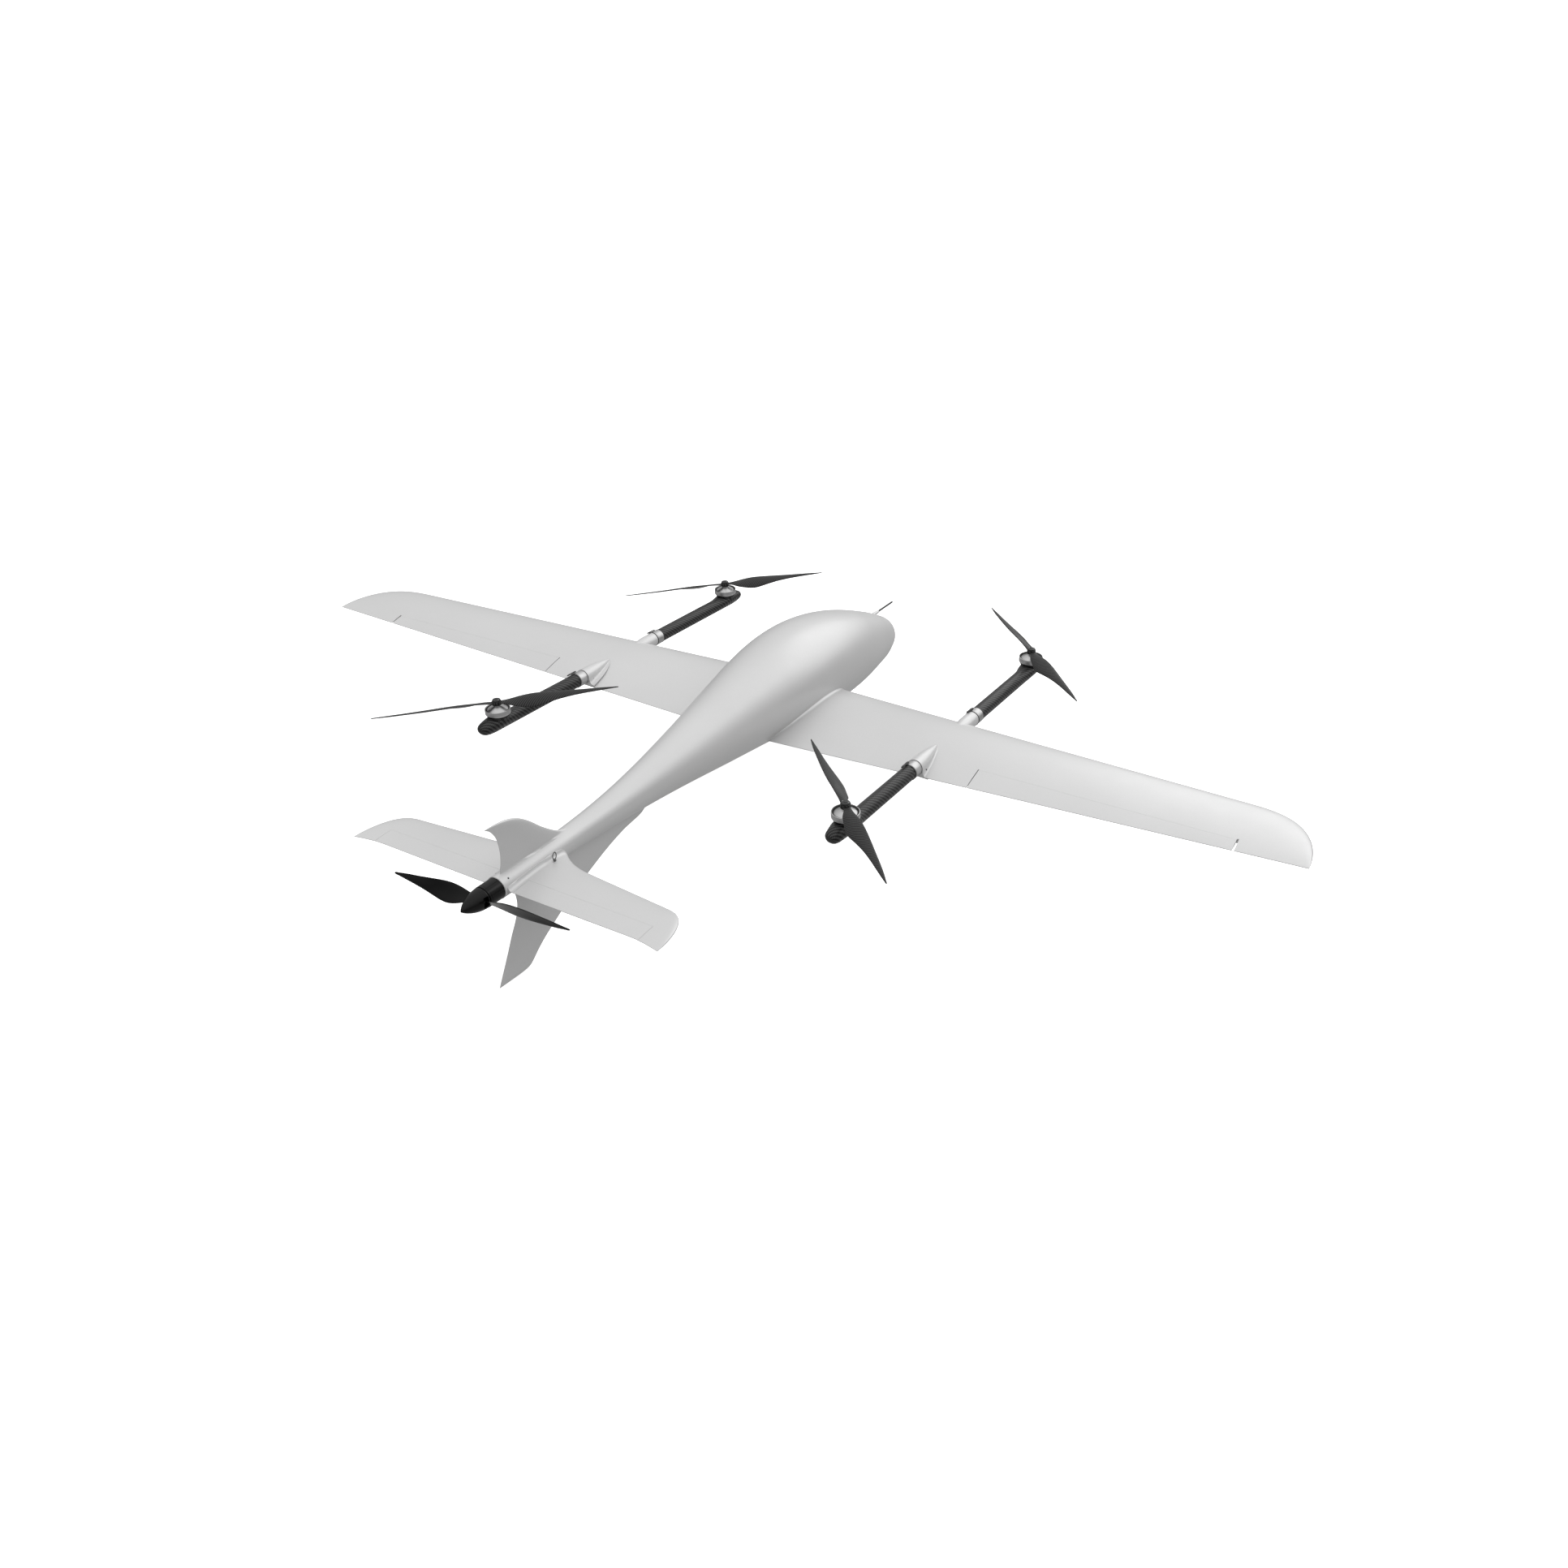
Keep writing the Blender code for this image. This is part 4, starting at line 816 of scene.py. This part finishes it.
def make_lift_motor(tag, x0, end):
    """Fixed base plate, the bell that turns over it, and the clamp that holds the propeller on top."""
    hub, rotor = Vector((x0, *end["hub"])), "lift_rotor_" + tag
    base = [(0.0234, -0.0286), (0.0239, -0.0283), (0.0240, -0.0272), (0.0236, -0.0262), (0.0205, -0.0258)]
    lathe(base, hub, LIFT_AXIS, 96, "lift_motor_base_" + tag, "dark_polymer")
    bell = [(0.0250, -0.0254), (0.0276, -0.0253), (0.0282, -0.0250), (MOTOR_R, -0.0244), (MOTOR_R, -0.0228),
            (0.0282, -0.0225), (0.0282, -0.0219), (MOTOR_R, -0.0216), (MOTOR_R, -0.0141),
            (0.0283, -0.0133), (0.0278, -0.0130), (0.0270, -0.0130), (0.0266, -0.0134), (0.0262, -0.0158),
            (0.0256, -0.0163), (0.0240, -0.0162), (0.0226, -0.0152)]
    bell += [(0.0226 - 0.0142 * k / 10, -0.0152 + 0.0078 * (k / 10) ** 0.9) for k in range(1, 11)]
    bell += [(0.0078, -0.0066), (0.0075, -0.0062), (0.0074, -0.0052)]
    lathe(bell, hub, LIFT_AXIS, 120, "lift_motor_bell_" + tag, "machined_silver", body=rotor)
    # A dark matt ring laid in the bell's groove: painted shade for the shadow inside the recess.
    ring = [(0.0266, -0.0164), (0.0264, -0.0148), (0.0238, -0.0147), (0.0230, -0.0160)]
    lathe(ring, hub, LIFT_AXIS, 96, "bell_groove_shade_" + tag, "dark_polymer", body=rotor, look="recess_painted_shade",
          extra=True)
    cap = [(0.0084, 0.0052), (0.0089, 0.0054), (0.0090, 0.0058), (0.0090, 0.0071), (0.0086, 0.0077),
           (0.0080, 0.0079), (0.0044, 0.0080), (0.0040, 0.0082), (0.0038, 0.0090), (0.0033, 0.0092)]
    lathe(cap, hub, LIFT_AXIS, 64, "lift_prop_clamp_" + tag, "dark_polymer", body=rotor)
    for n, x in enumerate((0.0063, -0.0063)):
        spot = about(LIFT_AXIS, hub) @ Vector((x, 0, 0.0079))
        screw(f"clamp_screw_{tag}_{n}", spot, LIFT_AXIS, 0.0013, 0.0009, rotor, "machined_silver")


# ---- propellers
LIFT_THICK, PUSH_THICK, THINNEST = 0.15, 0.11, 0.0022    # thickness as part of the chord, and in metres
LIFT_BLADE = [(0.03, 0.026, -0.026, 0), (0.07, 0.027, -0.034, 7), (0.10, 0.028, -0.050, 14),
              (0.16, 0.035, -0.068, 24), (0.23, 0.043, -0.082, 30), (0.30, 0.048, -0.088, 30),
              (0.38, 0.048, -0.076, 26.5), (0.50, 0.043, -0.051, 21), (0.64, 0.035, -0.031, 16),
              (0.78, 0.027, -0.020, 12.5), (0.90, 0.017, -0.012, 10), (0.97, 0.008, -0.006, 9)]
PUSH_BLADE = [(0.06, 0.036, -0.036, 42), (0.13, 0.046, -0.054, 40), (0.20, 0.060, -0.078, 37),
              (0.28, 0.072, -0.100, 33), (0.36, 0.076, -0.108, 29), (0.46, 0.070, -0.098, 25),
              (0.58, 0.057, -0.076, 20), (0.72, 0.042, -0.051, 16), (0.85, 0.029, -0.031, 13),
              (0.95, 0.015, -0.015, 11)]


def blade_rings(table, radius, thick, turn):
    """Sections of a blade that points along local +X, or -X for turn -1; local +Z is the thrust axis. A
    table row is the fraction of the radius, leading and trailing edge in radii, and pitch in degrees."""
    last = table[-1][0]
    rings = []
    for f in steps(table[0][0], last, 54) + closing(last, 1, 10):
        le, te, pitch = (spline(table, col, min(f, last)) for col in (1, 2, 3))
        if f > last:
            shrink = sqrt(max(1 - ((f - last) / (1 - last)) ** 2, 0.0))
            le, te = le * shrink, te * shrink
        c, mid, a = (le - te) * radius, (le + te) / 2 * radius, radians(pitch)
        t = max(thick * c, min(THINNEST, c))
        ring = []
        for i in range(28):
            b = pi * (2 * i + 1) / 28
            along, up = mid + cos(b) * c / 2, sin(b) * t / 2 + 0.06 * c * (1 - cos(b) ** 2)
            ring.append((turn * f * radius, turn * (along * cos(a) - up * sin(a)),
                         along * sin(a) + up * cos(a)))
        rings.append(ring)
    return rings


def make_propeller(name, slot, table, radius, thick, hub_r, hub_h, centre, rotation, body):
    """Two blades and a hub in one moulding."""
    half, edge = hub_h / 2, 0.0006
    hub = [(hub_r - edge, -half), (hub_r, edge - half), (hub_r, half - edge), (hub_r - edge, half)]
    prop = turned(hub, (0, 0, 0), UP, 72)
    for turn in (1, -1):
        blade = loft(blade_rings(table, radius, thick, turn), end=(turn * radius, 0, 0))
        prop = carve(prop, blade, how="UNION")
    local = Matrix.Translation(Vector(centre)) @ rotation
    prop.transform(local)
    piece(prop, name, slot, body, local, sharp=50)


def make_lift_units():
    for end_tag, end in ENDS.items():
        for side, side_tag in SIDES:
            tag, x0 = end_tag + "_" + side_tag, side * BOOM_X
            make_boom(tag, x0, end)
            make_collar(tag, x0, end)
            make_latch(tag, x0, end)
            make_lift_motor(tag, x0, end)
            level_aft = Vector((0, cos(LEAN), -sin(LEAN)))
            rotation = basis(Vector((1, 0, 0)) + side * level_aft, LIFT_AXIS)
            make_propeller("lift_prop_" + tag, "carbon_weave", LIFT_BLADE, LIFT_R, LIFT_THICK,
                           LIFT_HUB_R, LIFT_HUB_H, (x0, *end["hub"]), rotation, "lift_rotor_" + tag)


# ---- fins and tailplane
DORSAL_LE = [(0.600, 0.0500), (0.632, 0.0600), (0.670, 0.0860), (0.703, 0.1145), (0.731, 0.1340),
             (0.760, 0.1458), (0.789, 0.1503)]
DORSAL_TE = [(0.8190, 0.1503), (0.8180, 0.1490), (0.8050, 0.1400), (0.7920, 0.1190), (0.7865, 0.0900),
             (0.7880, 0.0660), (0.7920, 0.0500), (0.7920, 0.0300)]
DORSAL_TOP, FIN_ROUND = 0.1502, 0.010      # the fins are rounded over their last FIN_ROUND
VENTRAL_LE = [(0.345, -0.0020), (0.372, -0.0245), (0.431, -0.0345), (0.506, -0.0575), (0.600, -0.0975),
              (0.676, -0.1395), (0.706, -0.1590), (0.7275, -0.1775), (0.7366, -0.1848), (0.7440, -0.1875),
              (0.7520, GROUND)]
VENTRAL_TE = [(0.7640, 0.0200), (0.7640, -0.0040), (0.7590, -0.0180), (0.7572, -0.0400), (0.7640, -0.0656),
              (0.7800, -0.0960), (0.7982, -0.1336), (0.8263, GROUND)]


def edge_at(points, z):
    """y of a smooth edge, given as a chain of (y, z) points, at height z."""
    chain = sorted((q[1], q[0]) for q in curve(points, 10))
    return float(np.interp(z, [c[0] for c in chain], [c[1] for c in chain]))


def make_fin(name, le, te, heights, tip, closer, half_thick, root):
    """A fin in the centre plane, from sections stacked along Z, flaring into the fuselage at its root. The
    last sections, as many as closer says, draw together towards the tip's height."""
    root_up = copysign(1, tip)
    rings = []
    for z in heights + closing(heights[-1], tip, closer) + [tip]:
        y0, y1 = edge_at(le, z), edge_at(te, z)
        chord = y1 - y0
        close = clamp(abs(z - tip) / FIN_ROUND)
        close = sqrt(max(1 - (1 - close) ** 2, 0.0)) * 0.75 + 0.25
        side = []
        for s in section_stops(26):
            y = y0 + s * chord
            h = 2 * thickness_at(s) * min(half_thick, 0.055 * chord + 0.0006) * close + 0.0005 * s
            skin_z = centre_height(y) + root_up * spline(FUSELAGE, 1, min(y, TAIL_Y))
            away = (z - skin_z) * root_up
            h += fillet(away + 0.0004, root) * min(1.0, 4 * s * (1 - s) + 0.25)
            side.append((h, y))
        rings.append([(h, y, z) for h, y in side[::-1]] + [(-h, y, z) for h, y in side[1:]])
    fin = carve(loft(rings), fuselage_core())
    piece(fin, name, "composite_paint", sharp=40)


def stab_edges(x):
    """Leading and trailing edge of the tailplane at span x, with the root strake and the rounded tip."""
    x = abs(x)
    le = 0.6643 + 0.0964 * x - 0.030 * clamp((0.105 - x) / 0.081) ** 2.2
    te = 0.7995 - 0.0039 * x
    if x > STAB_TIP:
        u = (x - STAB_TIP) / (STAB_SPAN - STAB_TIP)
        te += 0.0105 * u ** 1.6
        le += (te - le) * (1 - sqrt(max(1 - u ** 2.9, 0)))
    return le, te


def stab_ring(x):
    """Section of the tailplane; near the fuselage its skins rise in a fillet that stops at a crisp ridge."""
    le, te = stab_edges(x)
    top, low = [], []
    for s in section_stops(28):
        y = le + s * (te - le)
        half = 0.095 * thickness_at(s) * (te - le) + 0.0006 * s
        rise = fillet(abs(x) - spline(FUSELAGE, 1, y) - 0.0002, 0.0080) * min(1.0, 14 * s)
        top.append((x, y, STAB_Z + half + rise))
        low.append((x, y, STAB_Z - half - rise * 0.7))
    return top[::-1] + low[1:]


def elevator_block(side, x0, x1, front, slant):
    """Space of the elevator; with a slant it leans away from the tailplane above and below the hinge."""
    y, aft, hinge = ELEV_Y + front, 0.85, STAB_Z + HINGE_LIFT
    outline = [(y + slant * 0.03, hinge + 0.03), (y, hinge), (y + slant * 0.03, hinge - 0.03),
               (aft, hinge - 0.03), (aft, hinge + 0.03)]
    return loft([[(side * x, *p) for p in outline] for x in (x0, x1)])


def make_quick_pin(side, tag):
    """Quick-release pin with its pull ring, down through the root of the tailplane."""
    foot = Vector((side * PIN_X, PIN_Y, STAB_Z))
    shaft = [(0.0011, -0.0020), (0.0015, -0.0016), (0.0015, 0.0085), (0.0030, 0.0088), (0.0030, 0.0098),
             (0.0027, 0.0100), (0.0030, 0.0102), (0.0030, 0.0110), (0.0024, 0.0118)]
    ring = torus((1, 0, 0), 0.0050, 0.0009)
    ring.transform(Matrix.Translation(foot + Vector((0, 0, 0.0184))) @ Matrix.Diagonal((1, 1, 1.5, 1)))
    pin = carve(turned(shaft, foot, UP, 32), ring, how="UNION")
    piece(pin, "quick_pin_" + tag, "machined_silver", "quick_pin_" + tag, Matrix.Translation(foot),
          "pin_steel")


def make_tailplane(side, tag):
    stops = steps(0.012, 0.044, 26) + steps(0.047, 0.110, 20) + steps(0.118, STAB_TIP, 20)
    stops += closing(STAB_TIP, STAB_SPAN, 22) + [STAB_SPAN * 0.9999]
    hole = turned([(0.0020, -0.0060), (0.0020, 0.0300)], (side * PIN_X, PIN_Y, STAB_Z + 0.003), UP, 24)
    stab = carve(loft([stab_ring(side * x) for x in stops]),
                 fuselage_core(), elevator_block(side, ELEV_IN, ELEV_OUT, 0.0, 0.0), hole)
    piece(stab, "tailplane_" + tag, "composite_paint", sharp=40)
    rings = [stab_ring(side * x) for x in steps(0.0255, 0.0445, 16) + steps(0.05, 0.335, 30)]
    keep = elevator_block(side, ELEV_IN + 0.0004, ELEV_OUT - 0.0004, HAIRLINE, 0.55)
    elevator = carve(loft(rings), keep, how="INTERSECT")
    piece(elevator, "elevator_" + tag, "composite_paint", "elevator_" + tag, sharp=40)
    make_quick_pin(side, tag)


# ---- tail motor, spinner, pusher propeller
def make_tail_drive():
    y0 = TAIL_Y + GAP
    aim = (0, 1, 0)
    can = [(TAIL_MOTOR_R - 0.0012, 0.0), (TAIL_MOTOR_R, 0.0010), (TAIL_MOTOR_R, TAIL_MOTOR_L - 0.0052),
           (TAIL_MOTOR_R - 0.0004, TAIL_MOTOR_L - 0.0048), (TAIL_MOTOR_R - 0.0004, TAIL_MOTOR_L - 0.0040),
           (TAIL_MOTOR_R, TAIL_MOTOR_L - 0.0036), (TAIL_MOTOR_R, TAIL_MOTOR_L - 0.0008),
           (TAIL_MOTOR_R - 0.0008, TAIL_MOTOR_L)]
    start = (0, y0, PUSH_Z)
    lathe(can, start, aim, 96, "tail_motor", "gloss_black")
    flange = [(0.0200, -0.0010), (0.0221, -0.0008), (0.0223, -0.0002), (0.0221, 0.0004), (0.0200, 0.0006)]
    lathe(flange, start, aim, 96, "tail_flange", "machined_silver", extra=True)
    base = y0 + TAIL_MOTOR_L + 0.0012
    length = SPIN_TIP - base
    cone = [(SPIN_R - 0.0006, 0.0)] + [(SPIN_R * (1 - (k / 48) ** 1.85) ** 0.82, k / 48 * length)
                                      for k in range(1, 48)]
    spinner = turned(cone + [(0, length)], (0, base, PUSH_Z), aim, 96)
    turn = basis((cos(PUSH_TURN), 0, sin(PUSH_TURN)), (0, -1, 0))
    centre = Vector((0, PUSH_Y, PUSH_Z))
    slot = boxed((-0.040, -0.0105, -0.0062), (0.040, 0.0105, 0.0062), 0.0015, 3)
    slot.transform(Matrix.Translation(centre) @ turn)
    well = turned([(PUSH_HUB_R + GAP, -0.0062), (PUSH_HUB_R + GAP, 0.0062)], centre, aim)
    spinner = carve(spinner, slot, well)
    piece(spinner, "spinner", "gloss_black", "pusher_rotor", about(aim, centre))
    make_propeller("pusher_prop", "gloss_black", PUSH_BLADE, PUSH_R, PUSH_THICK, PUSH_HUB_R,
                   PUSH_HUB_H, centre, turn, "pusher_rotor")
    for n, a in enumerate((2.31, 0.83)):
        y = 0.7880
        r, zc = spline(FUSELAGE, 1, y), centre_height(y)
        out = Vector((cos(a), 0, sin(a)))
        screw(f"tail_cone_screw_{n}", Vector((0, y, zc)) + out * r, out, 0.0018, 0.0004)


def make_probe():
    """Air data probe on top of the nose."""
    y, z, aim = -0.620, 0.0852, (0, -1, 0.02)
    foot = [(0.0052, -0.004), (0.0052, 0.0), (0.0051, 0.006), (0.0049, 0.011), (0.0043, 0.018),
            (0.0037, 0.023), (0.0033, 0.0252), (0.0026, 0.026)]
    base = carve(turned(foot, (0, y, z), aim, 48), fuselage_core())
    piece(base, "pitot_base", "composite_paint")
    start = Vector((0, y - 0.0264, z + 0.0005))
    tube = [(0.0029, -0.0010), (0.0029, 0.0020), (0.0025, 0.0028), (0.0025, 0.0700), (0.0023, 0.0735),
            (0.0019, 0.0762), (0.0010, 0.0765), (0.0009, 0.0740)]
    lathe(tube, start, aim, 32, "pitot_tube", "dark_polymer")


# ---- landing bow
def make_bow():
    """A springy strip under the belly, bent down to two flat ends with rubber feet."""
    half = curve([(0.0, -0.0495), (0.036, -0.0510), (0.062, -0.0620), (0.088, -0.0960), (0.114, -0.1430),
                  (0.128, -0.1680), (0.140, -0.1800), (0.156, -0.1825)], 8)
    line = [Vector((-x, z)) for x, z in half[::-1]] + [Vector(p) for p in half[1:]]
    reach, thick = 0.156, 0.0022
    rings = []
    for k, p in enumerate(line):
        t = (line[min(k + 1, len(line) - 1)] - line[max(k - 1, 0)]).normalized()
        n = Vector((-t.y, t.x))
        f = min(abs(p.x) / reach, 1)
        y, w = -0.312 - 0.085 * f ** 1.2, 0.017 - 0.006 * f
        ring = []
        for a in around(24):
            q = p + n * (thick * blunt(sin(a), 0.6))
            ring.append((q.x, y + w * blunt(cos(a), 0.35), q.y))
        rings.append(ring)
    bow = carve(loft(rings), fuselage_core())
    piece(bow, "landing_bow", "carbon_weave", local=Matrix.Translation((0, -0.35, -0.155)),
          look="carbon_bow", sharp=45)
    for side, tag in SIDES:
        x0, x1 = sorted((side * 0.132, side * 0.157))
        foot = boxed((x0, -0.408, GROUND), (x1, -0.384, GROUND + 0.0030), 0.0009, 3)
        piece(foot, "landing_foot_" + tag, "rubber_pad")
        for n, dy in enumerate((-0.007, 0.007)):
            spot = (side * 0.1445, -0.396 + dy, -0.1801)
            screw(f"foot_screw_{tag}_{n}", spot, UP, 0.0018, 0.0010, slot="machined_silver")
    for side, tag in SIDES:
        spot = (side * 0.022, -0.322, -0.0528)
        screw("bow_screw_" + tag, spot, DOWN, 0.0030, 0.0014, slot="machined_silver")


# ---- floor, light and camera
def make_stage():
    """A plain pale floor, and a pale dome far behind it that lets all light through."""
    floor_mat, net, _ = start_look("pale_floor", Specular_IOR_Level=0.0, Emission_Color=(1, 1, 1, 1),
                                   Emission_Strength=0.62)
    where = net.node("TexCoord", {}).outputs["Object"]
    net.surface(net.spread(net.noise(where, 0.8), 0.90, 0.93), 1.0,
                net.bump(net.noise(where, 40.0), 0.02, 0.002))
    disc = bmesh.new()
    bmesh.ops.create_circle(disc, cap_ends=True, segments=96, radius=FLOOR_REACH)
    wall = bmesh.new()
    bmesh.ops.create_uvsphere(wall, u_segments=64, v_segments=32, radius=DOME_REACH)
    wall_mat = bpy.data.materials.new("pale_backdrop")
    wall_mat.use_nodes = True
    net = Net(wall_mat.node_tree)
    glow = net.node("Emission", {"Color": (1, 1, 1, 1), "Strength": 1.1})
    net.feed(wall_mat.node_tree.nodes["Material Output"].inputs["Surface"], glow.outputs[0])
    for name, part, mat in (("floor", disc, floor_mat), ("backdrop", wall, wall_mat)):
        mesh = bpy.data.meshes.new(name)
        part.to_mesh(mesh)
        part.free()
        mesh.materials.append(mat)
        obj = add_object(name, mesh)
        obj.visible_diffuse = False
        obj.visible_glossy = False
        obj.visible_shadow = name == "floor"


def make_key_light():
    data = bpy.data.lights.new("key", "AREA")
    data.shape = "RECTANGLE"
    data.size, data.size_y = KEY_SIZE
    data.energy = KEY_POWER
    obj = add_object("key", data)
    obj.location = KEY_PLACE
    obj.rotation_euler = (Vector(KEY_TARGET) - Vector(KEY_PLACE)).to_track_quat("-Z", "Y").to_euler()


def make_sky():
    """A sky that is brightest overhead, and the plain colours of the picture."""
    scene = bpy.context.scene
    world = bpy.data.worlds.new("studio")
    world.use_nodes = True
    scene.world = world
    net = Net(world.node_tree)
    up = net.split(net.node("TexCoord", {}).outputs["Generated"])["Z"]
    above, below = net.spread(up, SKY_LOW, SKY_HIGH, 0.0, 1.0), net.spread(up, BOUNCE, SKY_LOW, -0.3, 0.0)
    glow = net.math("ADD", above, net.math("SUBTRACT", below, SKY_LOW))
    shade = world.node_tree.nodes["Background"]
    net.feed(shade.inputs["Color"], glow)
    scene.view_settings.view_transform = "Standard"
    scene.view_settings.look = "None"


def make_camera():
    data = bpy.data.cameras.new("photo_view")
    data.sensor_width = 36.0
    data.lens = CAMERA_LENS
    data.clip_end = 200.0
    camera = add_object("photo_view", data)
    camera.location = CAMERA_PLACE
    camera.rotation_euler = (CAMERA_TILT, 0.0, CAMERA_TURN)
    bpy.context.scene.camera = camera


make_camera()
make_stage()
make_sky()
make_key_light()
make_fuselage()
make_inside()
for side, tag in SIDES:
    make_wing(side, tag)
make_lift_units()
make_fin("dorsal_fin", DORSAL_LE, DORSAL_TE, steps(0.030, 0.128, 40), DORSAL_TOP, 16, 0.0045, 0.0030)
make_fin("ventral_fin", VENTRAL_LE, VENTRAL_TE, steps(0.018, -0.175, 60), GROUND, 10, 0.0050, 0.0060)
for side, tag in SIDES:
    make_tailplane(side, tag)
make_tail_drive()
make_probe()
make_bow()
